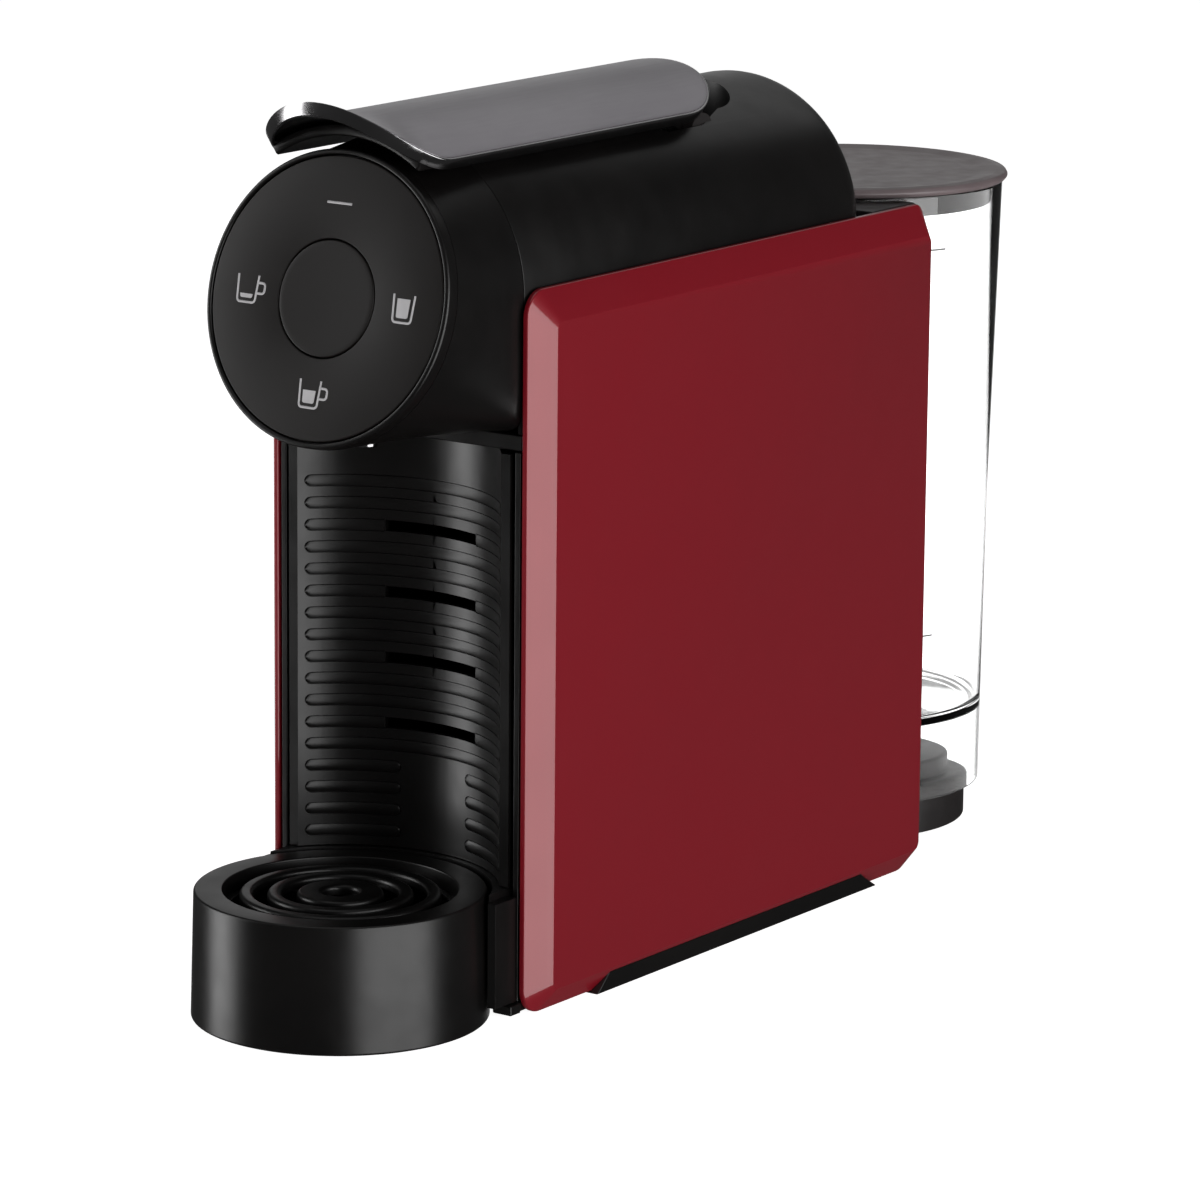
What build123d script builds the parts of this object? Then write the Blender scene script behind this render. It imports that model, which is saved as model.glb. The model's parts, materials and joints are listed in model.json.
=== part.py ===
from build123d import *
import os
from math import acos, asin, cos, degrees, pi, radians, sin

# Pod coffee machine: a slim housing with a round control face on a short head, an arched
# lever over a capsule slot, a concave capsule bin with a round drip tray in front of it,
# and a clear water tank behind. Millimetres. +X is the machine's left-to-right seen from
# the front, the face looks along -Y, +Z is up. The origin is on the table under the
# middle of the bounding box.

# Driving dimensions -----------------------------------------------------------------
GAP = 0.3                     # clearance between parts that move past each other

HALF_WIDTH = 57.0             # flat of each side panel
PANEL_INNER = 50.7            # open inner edge of each side panel
PANEL_BAND = 1.9              # straight band before the panel's chamfer starts
PANEL_FRONT, PANEL_BACK = -124.0, 114.5
PANEL_BOTTOM, PANEL_TOP = 0.8, 245.0
CHAMFER_FRONT, CHAMFER_TOP, CHAMFER_BOTTOM = 11.0, 11.0, 7.5
PANEL_WALL = 2.2
PANEL_CORNER = 9.0

CHASSIS_OUTER, CHASSIS_INNER = 49.7, 47.5
SHELF_BOTTOM, SHELF_TOP = 191.5, 197.0
FLOOR_BOTTOM, FLOOR_TOP = 2.0, 5.4

ARCH_Z = 242.5                # axis height of the hood, the head and the lever's arch
HOOD_RADIUS = 49.7
HOOD_WALL = 2.2
HOOD_FRONT, HOOD_REAR = -121.8, 85.5
HOOD_REAR_ROUND = 14.0

FACE_Y = -162.7               # front of the control face on its axis
FACE_LEAN = 13.5              # degrees that the control face leans back
FACE_RADIUS = 48.9
PLATE_RADIUS = 46.7
BUTTON_RADIUS = 19.1
BEZEL_DEPTH = 5.2             # from the face back to the head shell
HEAD_WALL = 2.4

TRAY_Y = -155.2               # axis of the drip tray and of the concave bin front
TRAY_TOP_RADIUS, TRAY_FOOT_RADIUS = 48.7, 49.8
TRAY_BOTTOM, TRAY_TOP = 0.3, 43.6
CONCAVE_RADIUS = 52.6

TANK_Y = 147.0                # axis of the tank
TANK_TOP, TANK_FLOOR, SKIRT_BOTTOM = 246.0, 50.0, 22.0
TANK_TOP_RADIUS, TANK_MID_RADIUS, TANK_FOOT_RADIUS = 56.0, 53.0, 52.0
TANK_MID_Z = 130.0
TANK_WALL = 1.8
LID_RADIUS = 58.0
NICHE_RADIUS = 57.6           # concave back of the housing that the tank stands in

LEVER_RADIUS = 58.4           # outside of the lever's arch
LEVER_HALF_WIDTH = 36.0
LEVER_THICKNESS = 3.0
LEVER_END_Y = -7.7            # centre of the lever's round rear end
LEVER_NOSE_Y = -148.0         # where the lever's nose starts
LEVER_NOSE_LENGTH = 20.0
CREST_Z = 307.0               # top of the upturned nose, the machine's full height

PIVOT_Y, PIVOT_Z = 10.0, 280.0
PIN_RADIUS = 2.5
PITCH_RADIUS = 18.0           # of the lever's toothed sectors
MODULE = 1.5
CAPSULE_Z = 235.0             # axis of the capsule in the brew chamber


FACE_NORMAL = (0, -cos(radians(FACE_LEAN)), sin(radians(FACE_LEAN)))
FACE_PLANE = Plane(origin=(0, FACE_Y, ARCH_Z), x_dir=(1, 0, 0), z_dir=FACE_NORMAL)
FACE_AXIS = Axis((0, FACE_Y, ARCH_Z), FACE_NORMAL)


# Shared helpers ----------------------------------------------------------------------
def facing(y):
    """Sketch plane at depth y, with X to the right and Z up; extrudes towards the front."""
    return Plane.XZ.offset(-y)


def block(x_range, y_range, z_range, mode=Mode.ADD):
    """Box between a low and a high value on each axis."""
    ranges = (x_range, y_range, z_range)
    middle = tuple((low + high) / 2 for low, high in ranges)
    with Locations(middle):
        Box(*(high - low for low, high in ranges), mode=mode)


def both_sides(inner, outer, y_range, z_range, mode=Mode.ADD):
    """The same box on the left and on the right of the middle plane."""
    block((inner, outer), y_range, z_range, mode)
    block((-outer, -inner), y_range, z_range, mode)


def upright(radius, x, y, z_range, mode=Mode.ADD):
    """Vertical cylinder."""
    with Locations((x, y, z_range[0])):
        Cylinder(radius, z_range[1] - z_range[0],
                 align=(Align.CENTER, Align.CENTER, Align.MIN), mode=mode)


def crosswise(radius, x_range, y, z, mode=Mode.ADD):
    """Cylinder along X."""
    with Locations(((x_range[0] + x_range[1]) / 2, y, z)):
        Cylinder(radius, x_range[1] - x_range[0], rotation=(0, 90, 0), mode=mode)


def lengthwise(radius, x, y_range, z, mode=Mode.ADD):
    """Cylinder along Y."""
    with Locations((x, (y_range[0] + y_range[1]) / 2, z)):
        Cylinder(radius, y_range[1] - y_range[0], rotation=(90, 0, 0), mode=mode)


def spun(points, y, mode=Mode.ADD):
    """Solid of revolution about the vertical axis at (0, y), from (radius, z) points."""
    with BuildSketch(facing(y)) as profile:
        with BuildLine():
            Polyline(*points, close=True)
        make_face()
    revolve(profile.sketch, axis=Axis((0, y, 0), (0, 0, 1)), mode=mode)


def arch_outline(y, radius, bottom):
    """Face in the plane y: a half circle on straight sides down to bottom."""
    with BuildSketch(facing(y)) as outline:
        with BuildLine():
            CenterArc((0, ARCH_Z), radius, 0, 90)
            CenterArc((0, ARCH_Z), radius, 90, 90)
            Polyline((-radius, ARCH_Z), (-radius, bottom), (radius, bottom), (radius, ARCH_Z))
        make_face()
    return outline.sketch


def barrel_outline(depth, radius):
    """Circle at a depth behind the leaned face, cut where the arch outline has its corners."""
    with BuildSketch(FACE_PLANE.offset(-depth)) as outline:
        with BuildLine():
            for start, size in ((0, 90), (90, 90), (180, 45), (225, 90), (315, 45)):
                CenterArc((0, 0), radius, start, size)
        make_face()
    return outline.sketch


def coil(radius, wire, start, direction, length, turns):
    """Compression spring from start along direction."""
    with BuildPart() as spring:
        with BuildLine() as path:
            Helix(length / turns, length, radius, center=start, direction=direction)
        with BuildSketch(Plane(origin=path.line @ 0, z_dir=path.line % 0)):
            Circle(wire)
        sweep()
    return spring


# Side panels -------------------------------------------------------------------------
def panel_outline(x, inset_front, inset_back, inset_bottom, inset_top, corner):
    """Rounded panel outline in the plane x, moved in from the panel's edges."""
    front, back = PANEL_FRONT + inset_front, PANEL_BACK - inset_back
    bottom, top = PANEL_BOTTOM + inset_bottom, PANEL_TOP - inset_top
    with BuildSketch(Plane.YZ.offset(x)) as outline:
        with Locations(((front + back) / 2, (bottom + top) / 2)):
            RectangleRounded(back - front, top - bottom, corner)
    return outline.sketch


def skid_outline(x, grow):
    """Side view of a skid, sloped at both ends, grown for the notch it stands in."""
    with BuildSketch(Plane.YZ.offset(x)) as outline:
        with BuildLine():
            Polyline((-86 - grow, 0), (88 + grow, 0), (77 + grow, 6.5 + grow),
                     (-79 - grow, 6.5 + grow), close=True)
        make_face()
    return outline.sketch


BAND_END = PANEL_INNER + PANEL_BAND
FACE_INSETS = (CHAMFER_FRONT, 0, CHAMFER_BOTTOM, CHAMFER_TOP)
PANEL_FIXINGS = ((-60, 60), (-60, 170), (84, 30), (84, 170))
BOSS_RADIUS, SCREW_RADIUS = 3.5, 1.25

with BuildPart() as side_panel_right:
    extrude(panel_outline(PANEL_INNER, 0, 0, 0, 0, PANEL_CORNER), amount=PANEL_BAND)
    loft([panel_outline(BAND_END, 0, 0, 0, 0, PANEL_CORNER),
          panel_outline(HALF_WIDTH, *FACE_INSETS, 3)])
    extrude(panel_outline(PANEL_INNER, 2, 2, 2, 2, PANEL_CORNER - 2), amount=0.5,
            mode=Mode.SUBTRACT)
    loft([panel_outline(PANEL_INNER + 0.5, 2, 2, 2, 2, PANEL_CORNER - 2),
          panel_outline(HALF_WIDTH - PANEL_WALL, 11, 2, 8, 11, 3)], mode=Mode.SUBTRACT)
    for y, z in PANEL_FIXINGS:
        crosswise(BOSS_RADIUS, (CHASSIS_OUTER, HALF_WIDTH - 1), y, z)
        crosswise(SCREW_RADIUS + 0.05, (CHASSIS_OUTER, HALF_WIDTH - 2), y, z, Mode.SUBTRACT)
    extrude(skid_outline(PANEL_INNER - 1, GAP), amount=HALF_WIDTH, mode=Mode.SUBTRACT)

with BuildPart() as side_panel_left:
    mirror(side_panel_right.part, about=Plane.YZ)

# Chassis -----------------------------------------------------------------------------
with BuildPart() as chassis_right:
    block((CHASSIS_INNER, CHASSIS_OUTER), (PANEL_FRONT + 0.5, 112),
          (FLOOR_TOP, SHELF_BOTTOM))
    for y, z in PANEL_FIXINGS:
        crosswise(SCREW_RADIUS + 0.3, (CHASSIS_INNER, CHASSIS_OUTER), y, z, Mode.SUBTRACT)

with BuildPart() as chassis_left:
    mirror(chassis_right.part, about=Plane.YZ)

BASE_SCREWS = ((-42, -70), (42, -70), (-42, 60), (42, 60))

with BuildPart() as base_plate:
    block((-50.4, 50.4), (-123.8, 112), (FLOOR_BOTTOM, FLOOR_TOP))
    block((-51.5, 51.5), (-129.5, -123.8), (FLOOR_BOTTOM, FLOOR_TOP))
    block((-32, 32), (112, 180), (FLOOR_BOTTOM, 8))
    upright(TRAY_FOOT_RADIUS + 1.2, 0, TRAY_Y, (FLOOR_BOTTOM, FLOOR_TOP), Mode.SUBTRACT)
    for x, y in BASE_SCREWS:
        upright(1.6, x, y, (FLOOR_BOTTOM, FLOOR_TOP), Mode.SUBTRACT)

with BuildPart() as skid_rails:
    for x in (50.4, -55.8):
        extrude(skid_outline(x, 0), amount=5.4)

with BuildPart() as rubber_feet:
    for x in (-34, 34):
        for y in (-76, 74):
            upright(8, x, y, (0, FLOOR_BOTTOM))

with BuildPart() as case_screws:
    for side in (-1, 1):
        for y, z in PANEL_FIXINGS:
            head = sorted((side * (CHASSIS_INNER - 2), side * CHASSIS_INNER))
            shank = sorted((side * CHASSIS_INNER, side * (CHASSIS_OUTER + 4)))
            crosswise(2.8, head, y, z)
            crosswise(SCREW_RADIUS, shank, y, z)
    for x, y in BASE_SCREWS:
        upright(1.5, x, y, (FLOOR_BOTTOM, FLOOR_TOP))
        upright(2.8, x, y, (FLOOR_TOP, FLOOR_TOP + 1.8))

CAPSULE_DROP = (-92, -58)

with BuildPart() as brew_shelf:
    block((-CHASSIS_OUTER, CHASSIS_OUTER), (-122.3, 85), (SHELF_BOTTOM, SHELF_TOP))
    block((-22, 22), CAPSULE_DROP, (SHELF_BOTTOM, SHELF_TOP), Mode.SUBTRACT)
    upright(4.5, 0, 48, (SHELF_BOTTOM, SHELF_TOP), Mode.SUBTRACT)

GLAND_X, GLAND_Z, GLAND_RADIUS = -38.0, 14.0, 6.0
PIPE_Z = 15.0

with BuildPart() as rear_wall:
    upright(NICHE_RADIUS + 2, 0, TANK_Y, (FLOOR_TOP, 242))
    block((-47.3, 47.3), (60, 120), (FLOOR_TOP, 242), Mode.INTERSECT)
    upright(NICHE_RADIUS, 0, TANK_Y, (FLOOR_TOP, 242), Mode.SUBTRACT)
    lengthwise(4, 0, (80, 95), PIPE_Z, Mode.SUBTRACT)
    lengthwise(GLAND_RADIUS + 0.05, GLAND_X, (92, 112), GLAND_Z, Mode.SUBTRACT)

with BuildPart() as cord_gland:
    lengthwise(GLAND_RADIUS, GLAND_X, (92, 111), GLAND_Z)
    lengthwise(GLAND_RADIUS + 1.5, GLAND_X, (92, 94), GLAND_Z)
    lengthwise(3.6, GLAND_X, (92, 111), GLAND_Z, Mode.SUBTRACT)

with BuildPart() as rear_deck:
    block((-49.5, 49.5), (HOOD_REAR + GAP, 114), (242, PANEL_TOP))
    upright(NICHE_RADIUS, 0, TANK_Y, (242, PANEL_TOP), Mode.SUBTRACT)

# Hood --------------------------------------------------------------------------------
def hood_form(radius, rear, rear_round):
    """Solid arch with its rear edge rounded over."""
    with BuildPart() as form:
        extrude(arch_outline(HOOD_FRONT, radius, SHELF_TOP + 0.2), amount=HOOD_FRONT - rear)
        rim = form.faces().sort_by(Axis.Y)[-1].edges()
        fillet(rim.sort_by(Axis.Z)[1:], radius=rear_round)
    return form


WELL_FRONT, WELL_CENTRE, WELL_RADIUS = -14.0, 4.5, 38.5


def well_outline(z, radius, front):
    """Plan of the lever's well: straight in front, round behind."""
    with BuildSketch(Plane.XY.offset(z)) as outline:
        with BuildLine():
            Polyline((radius, WELL_CENTRE), (radius, front), (-radius, front),
                     (-radius, WELL_CENTRE))
            CenterArc((0, WELL_CENTRE), radius, 0, 180)
        make_face()
    return outline.sketch


hood_core = hood_form(HOOD_RADIUS - HOOD_WALL, HOOD_REAR - HOOD_WALL,
                      HOOD_REAR_ROUND - HOOD_WALL)
hood_blank = hood_form(HOOD_RADIUS, HOOD_REAR, HOOD_REAR_ROUND)
SLOT_HALF, SLOT_Y = 20.0, (-90, -60)

with BuildPart() as hood:
    add(hood_blank.part)
    add(hood_core.part, mode=Mode.SUBTRACT)
    block((-SLOT_HALF, SLOT_HALF), SLOT_Y, (270, 300), Mode.SUBTRACT)
    extrude(well_outline(262, WELL_RADIUS, WELL_FRONT), amount=40, mode=Mode.SUBTRACT)

with BuildPart() as slot_liner:
    block((-SLOT_HALF - 1.4, SLOT_HALF + 1.4), (SLOT_Y[0] - 1.4, SLOT_Y[1] + 1.4), (264, 296))
    block((-SLOT_HALF, SLOT_HALF), SLOT_Y, (264, 296), Mode.SUBTRACT)
    add(hood_core.part, mode=Mode.INTERSECT)

EAR_INNER, EAR_OUTER = 30.5, 34.0
SECTOR_INNER, SECTOR_OUTER = 24.5, 28.5
WELL_FLOOR = 266.0

with BuildPart() as lever_well:
    extrude(well_outline(264.5, WELL_RADIUS + 1.5, WELL_FRONT - 1.5), amount=30)
    extrude(well_outline(WELL_FLOOR, WELL_RADIUS, WELL_FRONT), amount=30, mode=Mode.SUBTRACT)
    add(hood_core.part, mode=Mode.INTERSECT)
    both_sides(EAR_INNER, EAR_OUTER, (PIVOT_Y - 5, PIVOT_Y + 5), (WELL_FLOOR - 1, PIVOT_Z))
    crosswise(5, (EAR_INNER, EAR_OUTER), PIVOT_Y, PIVOT_Z)
    crosswise(5, (-EAR_OUTER, -EAR_INNER), PIVOT_Y, PIVOT_Z)
    crosswise(PIN_RADIUS + 0.02, (-EAR_OUTER, EAR_OUTER), PIVOT_Y, PIVOT_Z, Mode.SUBTRACT)
    both_sides(SECTOR_INNER - 0.7, SECTOR_OUTER + 0.7, (PIVOT_Y - 14, PIVOT_Y + 15),
               (264, WELL_FLOOR + 1), Mode.SUBTRACT)

with BuildPart() as lever_pin:
    crosswise(PIN_RADIUS, (-EAR_OUTER, EAR_OUTER), PIVOT_Y, PIVOT_Z)

# Lever -------------------------------------------------------------------------------
HALF_ANGLE = degrees(asin(LEVER_HALF_WIDTH / LEVER_RADIUS))


def arch_strip(y, outer, thickness, half_angle):
    """Strip of an arch in the plane y, between two radii."""
    start = 90 - half_angle
    with BuildSketch(facing(y)) as outline:
        with BuildLine():
            over = CenterArc((0, ARCH_Z), outer, start, 2 * half_angle)
            under = CenterArc((0, ARCH_Z), outer - thickness, start, 2 * half_angle)
            Line(over @ 0, under @ 0)
            Line(over @ 1, under @ 1)
        make_face()
    return outline.sketch


NOSE_MIDDLE_Y, NOSE_TIP_Y = LEVER_NOSE_Y - 10, LEVER_NOSE_Y - LEVER_NOSE_LENGTH
NOSE_MIDDLE_RADIUS = LEVER_RADIUS + 1.4
NOSE_TIP_RADIUS = CREST_Z - ARCH_Z

with BuildPart() as lever_plate:
    nose_start = arch_strip(LEVER_NOSE_Y, LEVER_RADIUS, LEVER_THICKNESS, HALF_ANGLE)
    nose_middle = arch_strip(NOSE_MIDDLE_Y, NOSE_MIDDLE_RADIUS, LEVER_THICKNESS, HALF_ANGLE)
    nose_tip = arch_strip(NOSE_TIP_Y, NOSE_TIP_RADIUS, LEVER_THICKNESS, HALF_ANGLE)
    extrude(nose_start, amount=LEVER_NOSE_Y - LEVER_END_Y - LEVER_HALF_WIDTH)
    loft([nose_start, nose_middle])
    loft([nose_middle, nose_tip])
    with BuildSketch(Plane.XY.offset(250)):
        with BuildLine():
            CenterArc((0, LEVER_END_Y), LEVER_HALF_WIDTH, 0, 180)
            Line((-LEVER_HALF_WIDTH, LEVER_END_Y), (-LEVER_HALF_WIDTH, LEVER_NOSE_Y))
            EllipticalCenterArc((0, LEVER_NOSE_Y), LEVER_HALF_WIDTH, LEVER_NOSE_LENGTH,
                                start_angle=180, arc_size=180)
            Line((LEVER_HALF_WIDTH, LEVER_NOSE_Y), (LEVER_HALF_WIDTH, LEVER_END_Y))
        make_face()
    extrude(amount=70, mode=Mode.INTERSECT)

ARM_RADIUS, ARM_THICKNESS, ARM_HALF_ANGLE = 55.3, 3.8, 34.0
LUG_INNER, LUG_OUTER, HUB_RADIUS = 19.5, 24.3, 6.5

with BuildPart() as lever_arm:
    extrude(arch_strip(-152, ARM_RADIUS, ARM_THICKNESS, ARM_HALF_ANGLE), amount=-140)
    for x in (LUG_INNER, -LUG_OUTER):
        with BuildSketch(Plane.YZ.offset(x)):
            with BuildLine():
                Polyline((4, PIVOT_Z), (-11, 289), (-14, 291), (14, 291),
                         (PIVOT_Y + HUB_RADIUS, PIVOT_Z), close=True)
            make_face()
            with Locations((PIVOT_Y, PIVOT_Z)):
                Circle(HUB_RADIUS)
        extrude(amount=LUG_OUTER - LUG_INNER)
    crosswise(PIN_RADIUS + 0.06, (-LUG_OUTER, LUG_OUTER), PIVOT_Y, PIVOT_Z, Mode.SUBTRACT)

TOOTH_PITCH = pi * MODULE
TOOTH_STEP = degrees(TOOTH_PITCH / PITCH_RADIUS)
ROOT_HALF, TIP_HALF = 1.45, 0.5          # half widths of a tooth at its root and its tip
ADDENDUM, DEDENDUM = 1.25, 1.75


def wedge_corner(angle):
    """Point well outside the sector at an angle, to cut the sector's blank by."""
    return 3 * PITCH_RADIUS * cos(radians(angle)), 3 * PITCH_RADIUS * sin(radians(angle))


with BuildPart() as lever_sectors:
    for x in (SECTOR_INNER, -SECTOR_OUTER):
        with BuildSketch(Plane.YZ.offset(x)):
            with Locations((PIVOT_Y, PIVOT_Z)):
                Circle(PITCH_RADIUS - DEDENDUM)
                Polygon((0, 0), wedge_corner(-116), wedge_corner(-60), wedge_corner(-6),
                        align=None, mode=Mode.INTERSECT)
                Circle(HUB_RADIUS)
            for tooth in range(-1, 6):
                with Locations(Location((PIVOT_Y, PIVOT_Z, 0), -90 + tooth * TOOTH_STEP)):
                    Polygon((PITCH_RADIUS - DEDENDUM - 0.5, -ROOT_HALF),
                            (PITCH_RADIUS + ADDENDUM, -TIP_HALF),
                            (PITCH_RADIUS + ADDENDUM, TIP_HALF),
                            (PITCH_RADIUS - DEDENDUM - 0.5, ROOT_HALF), align=None)
        extrude(amount=SECTOR_OUTER - SECTOR_INNER)
    crosswise(PIN_RADIUS + 0.06, (-SECTOR_OUTER, SECTOR_OUTER), PIVOT_Y, PIVOT_Z,
              Mode.SUBTRACT)

# Brew group --------------------------------------------------------------------------
CHEEK_INNER, CHEEK_OUTER = 29.2, 32.2
RACK_TOP = PIVOT_Z - PITCH_RADIUS - DEDENDUM
RAIL_TOP, BAR_BOTTOM = 249.7, 250.0

with BuildPart() as brew_frame:
    both_sides(CHEEK_INNER, CHEEK_OUTER, (-110, 55), (SHELF_TOP, 262))
    block((-CHEEK_OUTER, CHEEK_OUTER), (52, 55), (SHELF_TOP, 262))
    block((-CHEEK_OUTER, CHEEK_OUTER), (-57, 38), (SHELF_TOP, 201))
    both_sides(24.8, CHEEK_INNER, (-110, 52), (246, RAIL_TOP))

with BuildPart() as brew_yoke:
    block((-24.4, 24.4), (-70, -63), (214, RACK_TOP))
    both_sides(SECTOR_INNER - 0.2, SECTOR_OUTER, (-70, 46), (BAR_BOTTOM, RACK_TOP))
    for x in (SECTOR_INNER, -SECTOR_OUTER):
        with BuildSketch(Plane.YZ.offset(x)):
            for tooth in range(8):
                with Locations((PIVOT_Y + (tooth - 0.5 - 1) * TOOTH_PITCH, RACK_TOP)):
                    Polygon((-ROOT_HALF, -0.2), (ROOT_HALF, -0.2),
                            (TIP_HALF, DEDENDUM + ADDENDUM - 0.2),
                            (-TIP_HALF, DEDENDUM + ADDENDUM - 0.2), align=None)
        extrude(amount=SECTOR_OUTER - SECTOR_INNER)
    block((-4, 4), (-90, -70), (213, 226))
    lengthwise(1.8, 0, (-87, -62), 221, Mode.SUBTRACT)
    block((-1.5, 1.5), (-87, -84), (212, 221), Mode.SUBTRACT)

with BuildPart() as brew_cage:
    block((-24, 24), (-61.5, -22), (212, 257))
    block((-20, 20), (-57, -22), (201, 212))
    lengthwise(15.5, 0, (-61.5, -34), CAPSULE_Z, Mode.SUBTRACT)
    lengthwise(1.5, 0, (-40, -20), CAPSULE_Z, Mode.SUBTRACT)

with BuildPart() as capsule_cup:
    lengthwise(15.4, 0, (-61.3, -34), CAPSULE_Z)
    lengthwise(14.4, 0, (-61.4, -35), CAPSULE_Z, Mode.SUBTRACT)
    lengthwise(1.5, 0, (-40, -30), CAPSULE_Z, Mode.SUBTRACT)

with BuildPart() as injector_needle:
    with Locations((0, -37.5, CAPSULE_Z)):
        Cone(2.6, 0.5, 5, rotation=(90, 0, 0))
    lengthwise(0.6, 0, (-41, -34), CAPSULE_Z, Mode.SUBTRACT)

with BuildPart() as thermoblock:
    block((-20, 20), (-21.8, 35), (203, 245))
    lengthwise(2.2, 0, (35, 40), 225)
    lengthwise(2.2, 9, (35, 41), 213)
    both_sides(20, 26, (-10, -4), (208, 214))
    both_sides(20, 26, (20, 26), (208, 214))
    lengthwise(1.2, 0, (20, 40), 225, Mode.SUBTRACT)

with BuildPart() as thermostats:
    for y in (-6, 20):
        upright(7, 0, y, (245, 249))
        upright(4.5, 0, y, (249, 253))

CHUTE_BACK, CHUTE_FRONT = -80.0, -146.5

with BuildPart() as outlet_chute:
    with BuildSketch(Plane.YZ.offset(-6)):
        with BuildLine():
            Polyline((CHUTE_BACK, 207), (CHUTE_BACK, 212), (CHUTE_FRONT, 212),
                     (CHUTE_FRONT, 201), (-134, 201), close=True)
        make_face()
    extrude(amount=12)
    with BuildSketch(Plane.YZ.offset(-4.6)):
        with BuildLine():
            Polyline((CHUTE_BACK - 1.4, 208.5), (CHUTE_BACK - 1.4, 213), (CHUTE_FRONT + 1.4, 213),
                     (CHUTE_FRONT + 1.4, 202.5), (-134, 202.5), close=True)
        make_face()
    extrude(amount=9.2, mode=Mode.SUBTRACT)
    upright(2.4, 0, -141, (200, 204), Mode.SUBTRACT)

with BuildPart() as spout_tip:
    upright(3.6, 0, -141, (190.5, 201))
    upright(2.4, 0, -141, (190, 201), Mode.SUBTRACT)
    fillet(spout_tip.edges().filter_by(GeomType.CIRCLE).group_by(Axis.Z)[0], radius=0.4)

# Head and control face ---------------------------------------------------------------
with BuildPart() as head_shell:
    loft([arch_outline(HOOD_FRONT - 0.2, HOOD_RADIUS, SHELF_TOP + 0.5),
          barrel_outline(BEZEL_DEPTH, FACE_RADIUS)])
    loft([arch_outline(HOOD_FRONT - 0.2, HOOD_RADIUS - HEAD_WALL, SHELF_TOP + 0.5 + HEAD_WALL),
          barrel_outline(BEZEL_DEPTH, FACE_RADIUS - HEAD_WALL)], mode=Mode.SUBTRACT)
    upright(3.9, 0, -141, (190, 205), Mode.SUBTRACT)

PLATE_DEPTH, BOARD_DEPTH = 3.4, 10.7      # behind the face, along its axis

with BuildPart(FACE_PLANE) as bezel_ring:
    upright(FACE_RADIUS, 0, 0, (-BEZEL_DEPTH, 0))
    fillet(bezel_ring.edges().group_by(FACE_AXIS)[-1], radius=1.2)
    upright(PLATE_RADIUS + GAP, 0, 0, (1.6 - BEZEL_DEPTH, 0), Mode.SUBTRACT)
    upright(43, 0, 0, (-BEZEL_DEPTH, 0), Mode.SUBTRACT)

with BuildPart(FACE_PLANE) as face_plate:
    upright(PLATE_RADIUS, 0, 0, (-PLATE_DEPTH, -0.3))
    for turn in (45, 135, 225, 315):
        upright(2, 31 * cos(radians(turn)), 31 * sin(radians(turn)), (-BOARD_DEPTH, -PLATE_DEPTH))
    upright(BUTTON_RADIUS + 0.4, 0, 0, (-PLATE_DEPTH - 0.1, 1), Mode.SUBTRACT)

with BuildPart(FACE_PLANE) as centre_button:
    upright(BUTTON_RADIUS, 0, 0, (-PLATE_DEPTH, -0.2))
    fillet(centre_button.edges().group_by(FACE_AXIS)[-1], radius=0.4)
    upright(4.8, 0, 0, (1.6 - BOARD_DEPTH, -PLATE_DEPTH))

button_spring = coil(6.2, 0.35, FACE_PLANE.offset(0.4 - BOARD_DEPTH).origin, FACE_NORMAL, 5.1, 4)

with BuildPart(FACE_PLANE) as control_board:
    upright(38, 0, 0, (-BOARD_DEPTH - 1.6, -BOARD_DEPTH))
    block((-14, 14), (-34, -22), (-BOARD_DEPTH - 5, -BOARD_DEPTH - 1.6))
    block((-6, 6), (8, 20), (-BOARD_DEPTH - 4, -BOARD_DEPTH - 1.6))

with BuildPart(FACE_PLANE) as light_guides:
    for x, up in ((-31, 0), (0, -31), (31, 0)):
        block((x - 6, x + 6), (up - 6, up + 6), (-BOARD_DEPTH, -PLATE_DEPTH))

# Pump, flow meter and power board ----------------------------------------------------
PUMP_Y = 48.0
METER_TOP, PUMP_BOTTOM, PUMP_TOP = 24.0, 40.0, 150.0

with BuildPart() as flow_meter_body:
    upright(15, 0, PUMP_Y, (FLOOR_TOP, METER_TOP))
    upright(13, 0, PUMP_Y, (FLOOR_TOP + 2, METER_TOP - 2), Mode.SUBTRACT)
    upright(1.5, 0, PUMP_Y, (METER_TOP - 3, METER_TOP + 1), Mode.SUBTRACT)
    lengthwise(1.5, 0, (PUMP_Y + 10, PUMP_Y + 16), PIPE_Z, Mode.SUBTRACT)
    upright(1.5, 0, PUMP_Y, (FLOOR_TOP + 1, FLOOR_TOP + 4))

with BuildPart() as flow_meter_rotor:
    upright(3, 0, PUMP_Y, (FLOOR_TOP + 2.5, METER_TOP - 2.5))
    for turn in range(0, 180, 45):
        with Locations(Location((0, PUMP_Y, PIPE_Z), (0, 0, turn))):
            Box(22, 1.2, 10)
    upright(1.55, 0, PUMP_Y, (FLOOR_TOP + 1, FLOOR_TOP + 4.2), Mode.SUBTRACT)

with BuildPart() as pump_body:
    upright(11, 0, PUMP_Y, (PUMP_BOTTOM, PUMP_TOP))
    upright(5, 0, PUMP_Y, (PUMP_BOTTOM + 20, PUMP_TOP - 20), Mode.SUBTRACT)
    upright(1.6, 0, PUMP_Y, (PUMP_BOTTOM, PUMP_TOP), Mode.SUBTRACT)

with BuildPart() as pump_coil:
    block((-19, 19), (PUMP_Y - 18, PUMP_Y + 18), (76, 112))
    upright(11.1, 0, PUMP_Y, (76, 112), Mode.SUBTRACT)
    block((-6, 6), (PUMP_Y - 26, PUMP_Y - 18), (88, 100))

with BuildPart() as pump_plunger:
    upright(4.95, 0, PUMP_Y, (70, 106))
    upright(1.6, 0, PUMP_Y, (70, 106), Mode.SUBTRACT)

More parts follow.
